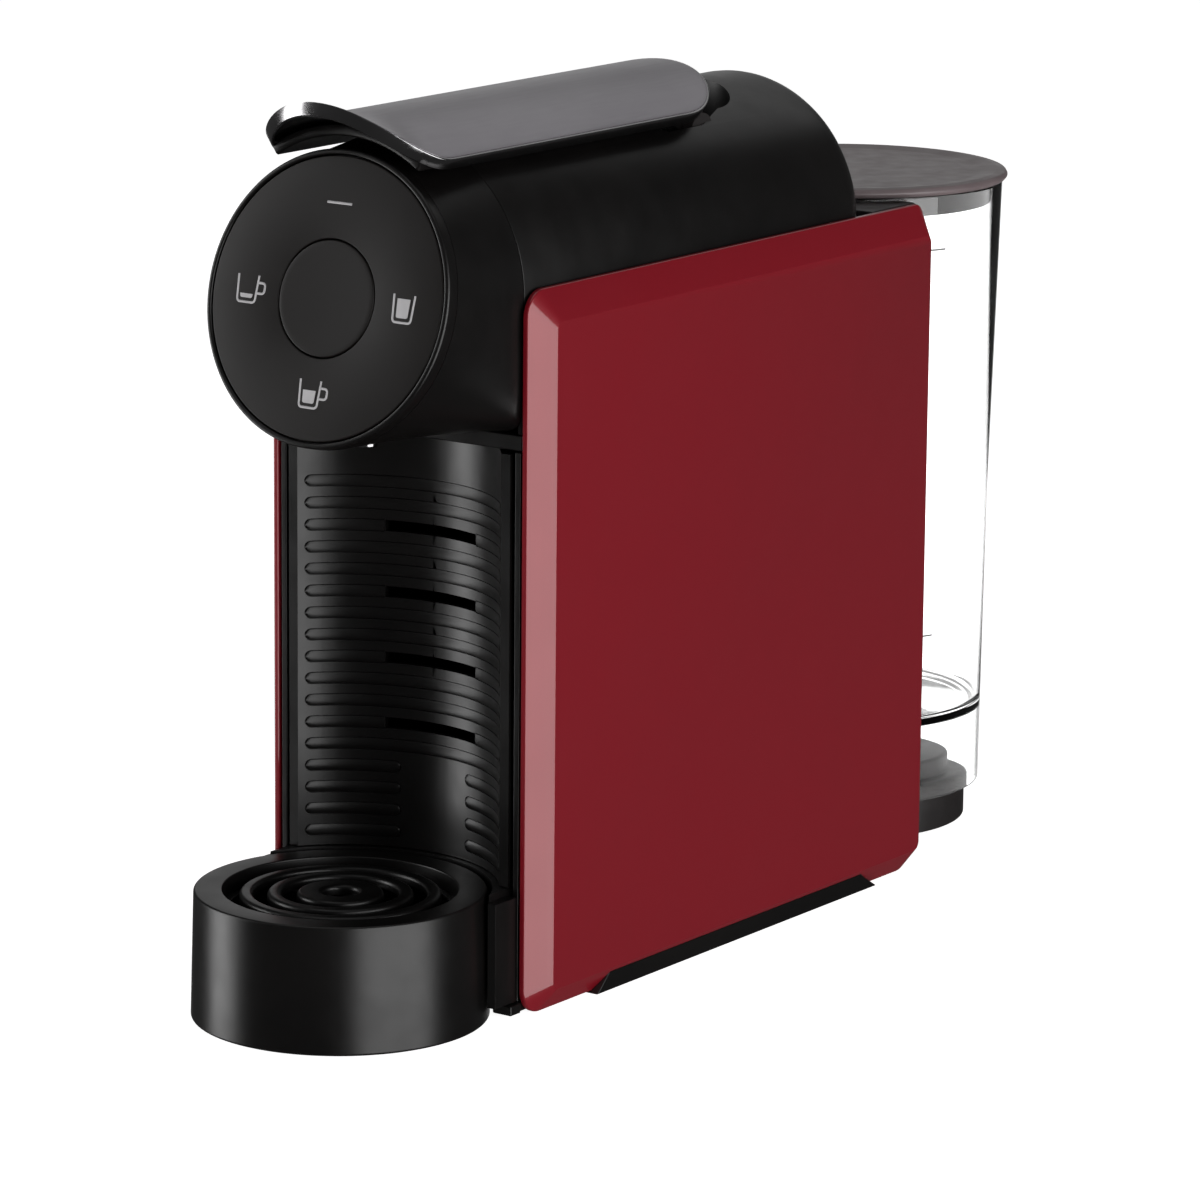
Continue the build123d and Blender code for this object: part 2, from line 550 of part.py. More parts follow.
pump_spring = coil(3.6, 0.5, (0, PUMP_Y, 106.6), (0, 0, 1), 22.6, 7)

with BuildPart() as pump_mounts:
    for z in (60, 130):
        upright(16, 0, PUMP_Y, (z - 4, z + 4))
        upright(11, 0, PUMP_Y, (z - 4, z + 4), Mode.SUBTRACT)
        block((16.5 - 2, CHASSIS_INNER), (PUMP_Y - 5, PUMP_Y + 5), (z - 4, z + 4))

BOARD_X = -44.0

with BuildPart() as power_board:
    block((BOARD_X, BOARD_X + 1.6), (-12, 78), (60, 170))
    for y in (-6, 72):
        for z in (66, 164):
            crosswise(2.5, (-CHASSIS_INNER, BOARD_X), y, z)
    block((BOARD_X + 1.6, -26), (-8, 20), (130, 160))
    block((BOARD_X + 1.6, -24), (-8, 14), (70, 94))
    block((BOARD_X + 1.6, -30), (30, 56), (140, 158))
    crosswise(6, (BOARD_X + 1.6, -28), 70, 80)

with BuildPart() as suction_hose:
    lengthwise(3, 0, (PUMP_Y + 15.2, TANK_Y - 47.1), PIPE_Z)
    lengthwise(1.6, 0, (PUMP_Y + 15, TANK_Y - 47), PIPE_Z, Mode.SUBTRACT)

with BuildPart() as pump_hose:
    upright(3, 0, PUMP_Y, (METER_TOP, PUMP_BOTTOM))
    upright(1.6, 0, PUMP_Y, (METER_TOP, PUMP_BOTTOM), Mode.SUBTRACT)

with BuildPart() as pressure_hose:
    with BuildLine() as pressure_route:
        FilletPolyline((0, PUMP_Y, PUMP_TOP), (0, PUMP_Y, 225), (0, 40, 225), radius=7)
    with BuildSketch(Plane(origin=(0, PUMP_Y, PUMP_TOP), z_dir=(0, 0, 1))):
        Circle(3)
        Circle(1.6, mode=Mode.SUBTRACT)
    sweep()

# Water tank --------------------------------------------------------------------------
with BuildPart() as tank_receiver:
    spun(((0, 8), (47, 8), (47, 27), (40, 27), (40, 34), (12, 34), (12, 40), (0, 40)), TANK_Y)
    spun(((13, 5), (44.8, 5), (44.8, 24.8), (37.8, 24.8), (37.8, 31.8), (13, 31.8)), TANK_Y,
         Mode.SUBTRACT)
    upright(9.2, 0, TANK_Y, (20, 41), Mode.SUBTRACT)
    upright(3.4, 0, TANK_Y, (16, 20), Mode.SUBTRACT)

with BuildPart() as socket_seal:
    with BuildSketch(facing(TANK_Y)):
        with Locations((8.15, 38.0)):
            Circle(0.9)
    revolve(axis=Axis((0, TANK_Y, 0), (0, 0, 1)))

with BuildPart() as tank_shell:
    spun(((TANK_FOOT_RADIUS - TANK_WALL, SKIRT_BOTTOM), (TANK_FOOT_RADIUS, SKIRT_BOTTOM),
          (TANK_MID_RADIUS, TANK_MID_Z), (TANK_TOP_RADIUS, TANK_TOP),
          (TANK_TOP_RADIUS - TANK_WALL, TANK_TOP), (TANK_MID_RADIUS - TANK_WALL, TANK_MID_Z),
          (TANK_FOOT_RADIUS - TANK_WALL + 0.3, TANK_FLOOR + 2.2), (4.2, TANK_FLOOR + 2.2),
          (4.2, TANK_FLOOR), (5.5, TANK_FLOOR), (5.5, 36.5), (7, 36.5), (7, TANK_FLOOR),
          (TANK_FOOT_RADIUS - TANK_WALL, TANK_FLOOR)), TANK_Y)

with BuildPart() as tank_filter:
    upright(12, 0, TANK_Y, (52.2, 66))
    upright(10.8, 0, TANK_Y, (52.2, 64.8), Mode.SUBTRACT)
    for turn in range(0, 180, 30):
        with Locations(Location((0, TANK_Y, 58), (0, 0, turn))):
            Box(30, 2.4, 7, mode=Mode.SUBTRACT)

with BuildPart() as valve_plunger:
    upright(7, 0, TANK_Y, (52.5, 55))
    upright(2, 0, TANK_Y, (38, 52.5))

valve_spring = coil(4.5, 0.4, (0, TANK_Y, 55.5), (0, 0, 1), 8.8, 4)

with BuildPart() as tank_lid:
    spun(((0, 246.3), (LID_RADIUS - 0.6, 246.3), (LID_RADIUS, 247.2), (LID_RADIUS, 248.4),
          (LID_RADIUS - 1.2, 249.5), (LID_RADIUS - 4, 249.7), (LID_RADIUS - 8, 249.2),
          (0, 248.6)), TANK_Y)

with BuildPart() as lid_plug:
    spun(((51, 238.5), (53.2, 238.5), (53.6, 246.3), (51, 246.3)), TANK_Y)

# Capsule bin and drip tray -----------------------------------------------------------
FLANGE_X, FLANGE_Y = 46.0, -124.0
BIN_BOTTOM, BIN_TOP, BIN_FRONT_TOP = 44.3, 176.0, 190.5
SLOT_COUNT, SLOT_TOP_Z, SLOT_PITCH, SLOT_HEIGHT = 4, 155.56, 22.71, 3.8
EDGE_ANGLE = degrees(acos((FLANGE_Y - TRAY_Y) / CONCAVE_RADIUS))

with BuildPart() as bin_front:
    with BuildSketch(Plane.XY.offset(BIN_BOTTOM)):
        with BuildLine():
            inner = CenterArc((0, TRAY_Y), CONCAVE_RADIUS, 90 - EDGE_ANGLE, 2 * EDGE_ANGLE)
            outer = CenterArc((0, TRAY_Y), CONCAVE_RADIUS + 2.2, 90 - EDGE_ANGLE,
                              2 * EDGE_ANGLE)
            Polyline(inner @ 0, (FLANGE_X, FLANGE_Y), (FLANGE_X, (outer @ 0).Y), outer @ 0)
            Polyline(inner @ 1, (-FLANGE_X, FLANGE_Y), (-FLANGE_X, (outer @ 1).Y), outer @ 1)
        make_face()
    extrude(amount=BIN_FRONT_TOP - BIN_BOTTOM)
    for row in range(SLOT_COUNT):
        z = SLOT_TOP_Z - row * SLOT_PITCH
        block((-19.2, 19.2), (-112, -90), (z - SLOT_HEIGHT / 2, z + SLOT_HEIGHT / 2), Mode.SUBTRACT)

with BuildPart() as capsule_bin:
    block((-44.5, 44.5), (-115, -22), (BIN_BOTTOM, BIN_TOP))
    block((-42.5, 42.5), (-118, -24), (BIN_BOTTOM + 2, BIN_TOP + 1), Mode.SUBTRACT)
    upright(CONCAVE_RADIUS + 2.2, 0, TRAY_Y, (BIN_BOTTOM - 1, BIN_TOP + 1), Mode.SUBTRACT)

DOCK_FRONT, DOCK_BACK, DOCK_X = -136.0, -98.0, 49.8
DOCK_BOTTOM = FLOOR_TOP + 0.4


def dock_outline(z, inset, radius):
    """Plan of the dock: a T-shaped block with the tray's circle cut away."""
    with BuildSketch(Plane.XY.offset(z)) as outline:
        with Locations((0, (DOCK_FRONT - 124.4) / 2)):
            Rectangle(2 * (DOCK_X - inset), -124.4 - DOCK_FRONT - 2 * inset)
        with Locations((0, (DOCK_FRONT + inset + DOCK_BACK - inset) / 2)):
            Rectangle(2 * (FLANGE_X - inset), DOCK_BACK - DOCK_FRONT - 2 * inset)
        with Locations((0, TRAY_Y)):
            Circle(radius, mode=Mode.SUBTRACT)
    return outline.sketch


with BuildPart() as tray_dock:
    extrude(dock_outline(DOCK_BOTTOM, 0, TRAY_FOOT_RADIUS + 0.6), amount=44 - DOCK_BOTTOM)
    extrude(dock_outline(DOCK_BOTTOM, 2, TRAY_FOOT_RADIUS + 2.6), amount=42 - DOCK_BOTTOM,
            mode=Mode.SUBTRACT)

RIM_HOLE, LEDGE_HOLE = 39.2, 36.8

with BuildPart() as drip_tray:
    spun(((0, TRAY_BOTTOM), (TRAY_FOOT_RADIUS - 0.6, TRAY_BOTTOM), (TRAY_FOOT_RADIUS, 1),
          (TRAY_TOP_RADIUS, TRAY_TOP - 0.8), (TRAY_TOP_RADIUS - 0.8, TRAY_TOP),
          (RIM_HOLE, TRAY_TOP), (RIM_HOLE, 37.4), (LEDGE_HOLE, 37.4), (LEDGE_HOLE, 36),
          (TRAY_TOP_RADIUS - 2.2, 28), (TRAY_FOOT_RADIUS - 2, 2.6), (0, 2.6)), TRAY_Y)

with BuildPart() as cup_grid:
    for outer_radius, inner_radius in ((33.6, 28.9), (24.3, 19.5), (14.5, 6.2)):
        upright(outer_radius, 0, TRAY_Y, (39.4, 42.6))
        upright(inner_radius, 0, TRAY_Y, (39.4, 42.6), Mode.SUBTRACT)
    fillet(cup_grid.edges().group_by(Axis.Z)[-1], radius=1.1)
    for turn in (0, 90):
        with Locations(Location((0, TRAY_Y, 38.6), (0, 0, turn))):
            Box(2 * RIM_HOLE - 1.2, 3, 2)

PIECES = {
    "side_panel_right": side_panel_right, "side_panel_left": side_panel_left,
    "chassis_right": chassis_right, "chassis_left": chassis_left,
    "base_plate": base_plate, "skid_rails": skid_rails, "rubber_feet": rubber_feet,
    "case_screws": case_screws, "brew_shelf": brew_shelf, "rear_wall": rear_wall,
    "cord_gland": cord_gland, "rear_deck": rear_deck, "hood": hood,
    "slot_liner": slot_liner, "lever_well": lever_well, "lever_pin": lever_pin,
    "lever_plate": lever_plate, "lever_arm": lever_arm, "lever_sectors": lever_sectors,
    "brew_frame": brew_frame, "brew_yoke": brew_yoke, "brew_cage": brew_cage,
    "capsule_cup": capsule_cup, "injector_needle": injector_needle,
    "thermoblock": thermoblock, "thermostats": thermostats,
    "outlet_chute": outlet_chute, "spout_tip": spout_tip,
    "head_shell": head_shell, "bezel_ring": bezel_ring, "face_plate": face_plate,
    "centre_button": centre_button, "button_spring": button_spring,
    "control_board": control_board, "light_guides": light_guides,
    "flow_meter_body": flow_meter_body, "flow_meter_rotor": flow_meter_rotor,
    "pump_body": pump_body, "pump_coil": pump_coil, "pump_plunger": pump_plunger,
    "pump_spring": pump_spring, "pump_mounts": pump_mounts, "power_board": power_board,
    "suction_hose": suction_hose, "pump_hose": pump_hose, "pressure_hose": pressure_hose,
    "tank_receiver": tank_receiver, "socket_seal": socket_seal, "tank_shell": tank_shell,
    "tank_filter": tank_filter, "valve_plunger": valve_plunger,
    "valve_spring": valve_spring, "tank_lid": tank_lid, "lid_plug": lid_plug,
    "bin_front": bin_front, "capsule_bin": capsule_bin, "tray_dock": tray_dock,
    "drip_tray": drip_tray, "cup_grid": cup_grid,
}

os.makedirs("parts", exist_ok=True)
for label, piece in PIECES.items():
    piece.part.label = label
    export_step(piece.part, f"parts/{label}.step")
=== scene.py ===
import json
from math import acos, asin, cos, degrees, pi, radians, sin, sqrt, tan

import bmesh
import bpy
from mathutils import Matrix, Vector


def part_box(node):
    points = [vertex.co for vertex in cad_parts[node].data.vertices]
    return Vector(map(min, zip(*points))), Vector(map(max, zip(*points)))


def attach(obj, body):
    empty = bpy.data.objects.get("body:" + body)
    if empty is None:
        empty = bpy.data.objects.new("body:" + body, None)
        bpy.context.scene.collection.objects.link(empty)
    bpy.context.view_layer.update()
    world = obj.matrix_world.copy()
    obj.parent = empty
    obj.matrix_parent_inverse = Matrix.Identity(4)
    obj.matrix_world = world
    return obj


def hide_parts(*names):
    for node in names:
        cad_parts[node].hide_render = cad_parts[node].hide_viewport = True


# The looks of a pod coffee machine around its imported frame. Shapes are worked out in
# millimetres in the frame's axes and written in metres: +X to the right seen from the
# front, the control face looks along -Y, +Z up.

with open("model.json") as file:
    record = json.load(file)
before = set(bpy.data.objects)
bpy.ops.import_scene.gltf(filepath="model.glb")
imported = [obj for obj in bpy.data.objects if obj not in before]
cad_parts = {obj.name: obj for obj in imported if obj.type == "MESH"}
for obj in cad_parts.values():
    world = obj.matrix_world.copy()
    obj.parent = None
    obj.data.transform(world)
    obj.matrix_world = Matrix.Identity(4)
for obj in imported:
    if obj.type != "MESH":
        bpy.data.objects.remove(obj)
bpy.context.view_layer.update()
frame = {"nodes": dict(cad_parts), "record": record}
MM = 0.001


def span(node):
    """Lowest and highest corner of a CAD node, in millimetres."""
    low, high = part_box(node)
    return low / MM, high / MM


# Driving dimensions, read from the frame -------------------------------------------------
PANEL_LOW, PANEL_HIGH = span("side_panel_right")
CHASSIS_LOW, CHASSIS_HIGH = span("chassis_right")
HOOD_LOW, HOOD_HIGH = span("hood")
HEAD_HIGH = span("head_shell")[1]
BEZEL_HIGH = span("bezel_ring")[1]
BUTTON_HIGH = span("centre_button")[1]
SHELF_LOW, SHELF_HIGH = span("brew_shelf")
DECK_LOW, DECK_HIGH = span("rear_deck")
BASE_LOW, BASE_HIGH = span("base_plate")
LEVER_LOW, LEVER_HIGH = span("lever_plate")
ARM_LOW, ARM_HIGH = span("lever_arm")
TRAY_LOW, TRAY_HIGH = span("drip_tray")
GRID_LOW, GRID_HIGH = span("cup_grid")
DOCK_LOW, DOCK_HIGH = span("tray_dock")
BIN_LOW, BIN_HIGH = span("bin_front")
TANK_LOW, TANK_HIGH = span("tank_shell")
LID_LOW, LID_HIGH = span("tank_lid")
PLUG_LOW, PLUG_HIGH = span("lid_plug")
RECEIVER_LOW, RECEIVER_HIGH = span("tank_receiver")
SPOUT_LOW, SPOUT_HIGH = span("spout_tip")
RAIL_LOW, RAIL_HIGH = span("skid_rails")

HOOD_RADIUS = HOOD_HIGH.x
ARCH_Z = HOOD_HIGH.z - HOOD_RADIUS              # axis height of head, hood and lever arch
FACE_LEAN = radians(13.5)                       # how far the control face leans back
FACE_RADIUS = BEZEL_HIGH.x
BEZEL_DEPTH, PLATE_DEPTH, STEM_DEPTH = 5.2, 3.4, 9.1      # behind the face, along its axis
FACE_Y = BEZEL_HIGH.y - BEZEL_DEPTH * cos(FACE_LEAN) - FACE_RADIUS * sin(FACE_LEAN)
BUTTON_RADIUS = BUTTON_HIGH.x
TRAY_Y = (TRAY_LOW.y + TRAY_HIGH.y) / 2
TANK_Y = (LID_LOW.y + LID_HIGH.y) / 2
LID_RADIUS = LID_HIGH.x
SPOUT_Y = (SPOUT_LOW.y + SPOUT_HIGH.y) / 2
HALF_WIDTH = PANEL_HIGH.x

# Driving dimensions that no single node gives ---------------------------------------------
PANEL_INNER, PANEL_BAND = 50.7, 1.9
PANEL_CORNER, PANEL_FACE_CORNER = 9.0, 3.0
PANEL_REAR_TOP_CORNER = 4.5
CHAMFER_FRONT, CHAMFER_TOP, CHAMFER_BOTTOM, CHAMFER_BACK = 11.0, 11.0, 7.5, 0.8
HOOD_REAR_ROUND = 14.0
HOOD_WALL, HEAD_WALL, BIN_WALL = 2.2, 2.4, 2.2
PIVOT_Y, PIVOT_Z = 10.0, 280.0
WELL_FLOOR, WELL_BOTTOM = 266.0, 264.5
WELL_CENTRE, WELL_HALF, WELL_LENGTH, WELL_FRONT = 26.0, 29.5, 22.0, -14.0
CONCAVE_RADIUS = 52.6
FLOOR_TOP = 5.4
NICHE_RADIUS = 57.6


# Mesh tools ------------------------------------------------------------------------------
def rounded(points, radii, steps=5, closed=True):
    """The corners of a flat polygon, or of an open line, turned into arcs."""
    count = len(points)
    if not isinstance(radii, (list, tuple)):
        radii = [radii] * count
    result = []
    for i, corner in enumerate(points):
        ends = not closed and i in (0, count - 1)
        if ends or radii[i] <= 0:
            result.append(tuple(corner))
            continue
        here = Vector(corner)
        back = Vector(points[i - 1]) - here
        ahead = Vector(points[(i + 1) % count]) - here
        half = back.angle(ahead) / 2
        reach = min(radii[i] / tan(half), 0.49 * back.length, 0.49 * ahead.length)
        radius = reach * tan(half)
        middle = here + (back.normalized() + ahead.normalized()).normalized() * radius / sin(half)
        start = here + back.normalized() * reach - middle
        end = here + ahead.normalized() * reach - middle
        turn = start.angle(end)
        for step in range(steps + 1):
            share = step / steps
            arm = (start * sin((1 - share) * turn) + end * sin(share * turn)) / sin(turn)
            result.append(tuple(middle + arm))
    return result


def arc(centre, radius, start, size, steps):
    """Points on an arc; angles in degrees."""
    turns = [radians(start + size * i / steps) for i in range(steps + 1)]
    return [(centre[0] + radius * cos(t), centre[1] + radius * sin(t)) for t in turns]


def mesh_object(name, points, faces):
    """A mesh from points in millimetres, with seams welded and normals outwards."""
    mesh = bpy.data.meshes.new(name)
    mesh.from_pydata([Vector(p) * MM for p in points], [], faces)
    tidy = bmesh.new()
    tidy.from_mesh(mesh)
    bmesh.ops.remove_doubles(tidy, verts=tidy.verts, dist=0.002 * MM)
    bmesh.ops.dissolve_degenerate(tidy, edges=tidy.edges, dist=0.001 * MM)
    bmesh.ops.recalc_face_normals(tidy, faces=tidy.faces)
    tidy.to_mesh(mesh)
    tidy.free()
    obj = bpy.data.objects.new(name, mesh)
    bpy.context.scene.collection.objects.link(obj)
    return obj


def stack(rings, closed=True, loop=False):
    """Points and faces through a row of rings; closed ends get caps, a loop joins up."""
    size = len(rings[0])
    points = [p for ring in rings for p in ring]
    faces = []
    for row in range(len(rings) if loop else len(rings) - 1):
        low, high = row * size, (row + 1) % len(rings) * size
        for i in range(size):
            j = (i + 1) % size
            faces.append((low + i, low + j, high + j, high + i))
    if closed and not loop:
        faces.append(tuple(reversed(range(size))))
        faces.append(tuple(range((len(rings) - 1) * size, len(rings) * size)))
    return points, faces


def joined(*solids):
    """Points and faces of several solids in one list."""
    points, faces = [], []
    for more_points, more_faces in solids:
        faces += [tuple(i + len(points) for i in face) for face in more_faces]
        points += more_points
    return points, faces


def prism(outline, low, high, place):
    """An outline pushed from low to high; place turns (a, b, depth) into (x, y, z)."""
    return stack([[place(a, b, depth) for a, b in outline] for depth in (low, high)])


def along_x(a, b, depth):
    """Puts a (y, z) outline at x = depth."""
    return depth, a, b


def along_z(a, b, depth):
    """Puts an (x, y) outline at z = depth."""
    return a, b, depth


def slab(low, high):
    """A box between two corners."""
    outline = [(low[0], low[1]), (high[0], low[1]), (high[0], high[1]), (low[0], high[1])]
    return prism(outline, low[2], high[2], along_z)


def full_turn(segments):
    """Evenly spaced angles round a circle, in radians."""
    return [2 * pi * i / segments for i in range(segments)]


def spun_up(profile, y, segments=128):
    """A profile of (radius, z) turned about the upright axis at (0, y)."""
    return stack([[(radius * cos(t), y + radius * sin(t), z) for t in full_turn(segments)]
                  for radius, z in profile], loop=True)


def on_face(x, up, depth):
    """Point on the leaned control face: x, height above its middle, depth behind it."""
    return (x, FACE_Y + depth * cos(FACE_LEAN) + up * sin(FACE_LEAN),
            ARCH_Z + up * cos(FACE_LEAN) - depth * sin(FACE_LEAN))


def spun_face(profile, segments=128):
    """A profile of (radius, depth) turned about the axis of the control face."""
    return stack([[on_face(radius * cos(t), radius * sin(t), depth) for t in full_turn(segments)]
                  for radius, depth in profile], loop=True)


def carve(obj, *cutters, keep_inside=False):
    """Cuts solids out of a mesh, or keeps only what is inside them, and removes the cutters."""
    for i, solid in enumerate(cutters):
        cutter = mesh_object(f"cutter_{i}", *solid)
        cut = obj.modifiers.new("carve", "BOOLEAN")
        cut.object, cut.solver = cutter, "EXACT"
        cut.operation = "INTERSECT" if keep_inside else "DIFFERENCE"
        graph = bpy.context.evaluated_depsgraph_get()
        mesh = bpy.data.meshes.new_from_object(obj.evaluated_get(graph))
        obj.modifiers.clear()
        obj.data = mesh
        bpy.data.objects.remove(cutter)
    return obj


def shade(obj, edge=0.0, segments=2, sharp=35):
    """Smooth shading, with a small rounding on the edges that are sharper than the limit."""
    obj.data.shade_smooth()
    if edge:
        bevel = obj.modifiers.new("edges", "BEVEL")
        bevel.width, bevel.segments = edge * MM, segments
        bevel.limit_method, bevel.angle_limit = "ANGLE", radians(sharp)
        bevel.use_clamp_overlap = True
        bevel.harden_normals = True
    else:
        obj.data.set_sharp_from_angle(angle=radians(sharp))
    return obj


def place(obj, body, slot, *nodes):
    """Gives a piece its finish and body, and hides the CAD nodes that it stands for."""
    obj.data.materials.clear()
    obj.data.materials.append(FINISHES[slot])
    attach(obj, body)
    if nodes:
        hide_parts(*nodes)
    return obj


# Finishes --------------------------------------------------------------------------------
class Finish:
    """A material with object-space noises behind its colour, gloss and surface."""

    def __init__(self, name, roughness, metallic=0.0, specular=0.5):
        self.material = bpy.data.materials.new(name)
        self.material.use_nodes = True
        self.nodes, self.links = self.material.node_tree.nodes, self.material.node_tree.links
        self.shader = self.nodes["Principled BSDF"]
        self.set("Roughness", roughness)
        self.set("Metallic", metallic)
        self.set("Specular IOR Level", specular)
        self.coordinates = self.nodes.new("ShaderNodeTexCoord").outputs["Object"]

    def set(self, socket, value):
        self.shader.inputs[socket].default_value = value

    def noise(self, size, stretch=(1, 1, 1)):
        """Noise whose grains are about size millimetres, stretched along the axes."""
        scale = self.nodes.new("ShaderNodeMapping")
        scale.inputs["Scale"].default_value = [1 / s for s in stretch]
        texture = self.nodes.new("ShaderNodeTexNoise")
        texture.inputs["Scale"].default_value = 1 / (size * MM)
        texture.inputs["Detail"].default_value = 3.0
        self.links.new(self.coordinates, scale.inputs["Vector"])
        self.links.new(scale.outputs["Vector"], texture.inputs["Vector"])
        return texture.outputs["Fac"]

    def colours(self, dark, light, size):
        """Base colour that drifts between two shades."""
        ramp = self.nodes.new("ShaderNodeValToRGB")
        for stop, place_on_ramp, shade_of in zip(ramp.color_ramp.elements, (0.35, 0.65),
                                                 (dark, light)):
            stop.position, stop.color = place_on_ramp, (*shade_of, 1)
        self.links.new(self.noise(size), ramp.inputs["Fac"])
        self.links.new(ramp.outputs["Color"], self.shader.inputs["Base Color"])

    def gloss(self, smooth, rough, size, stretch=(1, 1, 1)):
        """Roughness that drifts between two values."""
        span_node = self.nodes.new("ShaderNodeMapRange")
        for socket, value in (("From Min", 0.3), ("From Max", 0.7), ("To Min", smooth),
                              ("To Max", rough)):
            span_node.inputs[socket].default_value = value
        self.links.new(self.noise(size, stretch=stretch), span_node.inputs["Value"])
        self.links.new(span_node.outputs["Result"], self.shader.inputs["Roughness"])

    def grain(self, size, strength, depth, stretch=(1, 1, 1)):
        """Fine moulded or brushed surface."""
        bump = self.nodes.new("ShaderNodeBump")
        bump.inputs["Strength"].default_value = strength
        bump.inputs["Distance"].default_value = depth * MM
        self.links.new(self.noise(size, stretch=stretch), bump.inputs["Height"])
        self.links.new(bump.outputs["Normal"], self.shader.inputs["Normal"])


def red_panel():
    finish = Finish("red_panel", 0.34, metallic=0.15, specular=0.25)
    finish.colours((0.178, 0.0038, 0.0100), (0.190, 0.0044, 0.0112), 0.25)
    finish.gloss(0.32, 0.37, 25)
    finish.grain(0.35, 0.05, 0.02)
    finish.set("Coat Weight", 0.7)
    finish.set("Coat Roughness", 0.07)
    return finish.material


def black_satin():
    finish = Finish("black_satin", 0.36, specular=0.4)
    finish.colours((0.0022, 0.0019, 0.0019), (0.0036, 0.0031, 0.0030), 40)
    finish.gloss(0.31, 0.37, 12)
    finish.grain(0.45, 0.16, 0.03)
    return finish.material


def black_gloss():
    finish = Finish("black_gloss", 0.4, specular=0.3)
    finish.colours((0.0045, 0.0034, 0.0031), (0.0058, 0.0045, 0.0041), 30)
    finish.gloss(0.44, 0.50, 15)
    finish.grain(0.3, 0.06, 0.02)
    return finish.material


def grid_black():
    finish = Finish("grid_black", 0.32, specular=0.35)
    finish.colours((0.0016, 0.0015, 0.0015), (0.0028, 0.0026, 0.0025), 30)
    finish.gloss(0.30, 0.40, 10)
    finish.grain(0.4, 0.12, 0.03)
    return finish.material


def lever_metal():
    finish = Finish("lever_metal", 0.34, metallic=0.85)
    finish.colours((0.275, 0.260, 0.282), (0.305, 0.290, 0.312), 45)
    finish.gloss(0.30, 0.36, 1.2, stretch=(1, 14, 1))
    finish.grain(0.5, 0.05, 0.02, stretch=(1, 18, 1))
    return finish.material


def chrome():
    finish = Finish("chrome", 0.1, metallic=1.0)
    finish.colours((0.27, 0.265, 0.27), (0.32, 0.315, 0.32), 20)
    finish.gloss(0.15, 0.21, 6)
    return finish.material


def clear_tank():
    finish = Finish("clear_tank", 0.02)
    finish.colours((0.955, 0.957, 0.957), (0.985, 0.987, 0.987), 50)
    finish.gloss(0.01, 0.04, 30)
    finish.grain(30, 0.05, 0.2)
    finish.set("Transmission Weight", 1.0)
    finish.set("IOR", 1.46)
    return finish.material


def plain(name, dark, light, roughness, metallic=0.0, size=15, grain=0.5, strength=0.15):
    """A finish with two close shades, drifting gloss and a fine grain."""
    finish = Finish(name, roughness, metallic)
    finish.colours(dark, light, size)
    finish.gloss(roughness - 0.05, roughness + 0.06, size / 2)
    finish.grain(grain, strength, 0.03)
    return finish.material


FINISHES = {
    "red_panel": red_panel(),
    "black_satin": black_satin(),
    "black_gloss": black_gloss(),
    "grid_black": grid_black(),
    "lever_metal": lever_metal(),
    "clear_tank": clear_tank(),
    "chrome": chrome(),
    "lid_satin": plain("lid_satin", (0.120, 0.094, 0.097), (0.135, 0.107, 0.110), 0.36),
    "grey_plastic": plain("grey_plastic", (0.010, 0.008, 0.008), (0.013, 0.011, 0.011), 0.5),
    "steel": plain("steel", (0.42, 0.42, 0.43), (0.52, 0.52, 0.53), 0.32, 1.0, 8),
    "cast_metal": plain("cast_metal", (0.36, 0.36, 0.36), (0.46, 0.46, 0.46), 0.5, 1.0, 4,
                        0.8, 0.5),
    "pump_metal": plain("pump_metal", (0.20, 0.20, 0.21), (0.30, 0.30, 0.31), 0.45, 0.6, 10),
    "pump_brass": plain("pump_brass", (0.55, 0.38, 0.15), (0.66, 0.46, 0.20), 0.3, 1.0, 6),
    "board": plain("board", (0.010, 0.075, 0.030), (0.016, 0.110, 0.045), 0.42, 0.0, 5),
    "rubber": plain("rubber", (0.010, 0.010, 0.010), (0.018, 0.017, 0.017), 0.75, 0.0, 5,
                    0.6, 0.4),
}

legend_print = plain("legend_print", (0.40, 0.39, 0.40), (0.44, 0.43, 0.44), 0.5, size=4)
level_print = plain("level_print", (0.16, 0.16, 0.16), (0.2, 0.2, 0.2), 0.5, size=3)

slot_of = {part["node"]: part["material_slot"] for part in frame["record"]["subparts"]}
for node, obj in frame["nodes"].items():
    obj.data.materials.clear()
    obj.data.materials.append(FINISHES[slot_of[node]])


# Side panels -----------------------------------------------------------------------------
def panel_ring(x, share, margin=0.0):
    """Rounded outline of a panel in the plane x, part of the way up its chamfers."""
    front = PANEL_LOW.y + CHAMFER_FRONT * share + margin
    back = PANEL_HIGH.y - CHAMFER_BACK * share - margin
    bottom = PANEL_LOW.z + CHAMFER_BOTTOM * share + margin
    top = PANEL_HIGH.z - CHAMFER_TOP * share - margin
    corner = max(PANEL_CORNER + (PANEL_FACE_CORNER - PANEL_CORNER) * share - margin, 1.5)
    rear_top = PANEL_REAR_TOP_CORNER + (PANEL_FACE_CORNER - PANEL_REAR_TOP_CORNER) * share
    outline = rounded([(front, bottom), (back, bottom), (back, top), (front, top)],
                      [corner, corner, max(rear_top - margin, 1.5), corner], 10)
    return [(x, y, z) for y, z in outline]


def skid_outline(grow=0.0):
    """Side view of a skid: flat below, with a sloped nose and a longer sloped tail."""
    nose_slope, tail_slope = 7.0, 11.0
    return [(RAIL_LOW.y - grow, RAIL_LOW.z), (RAIL_HIGH.y + grow, RAIL_LOW.z),
            (RAIL_HIGH.y - tail_slope - grow / 2, RAIL_HIGH.z + grow),
            (RAIL_LOW.y + nose_slope + grow / 2, RAIL_HIGH.z + grow)]


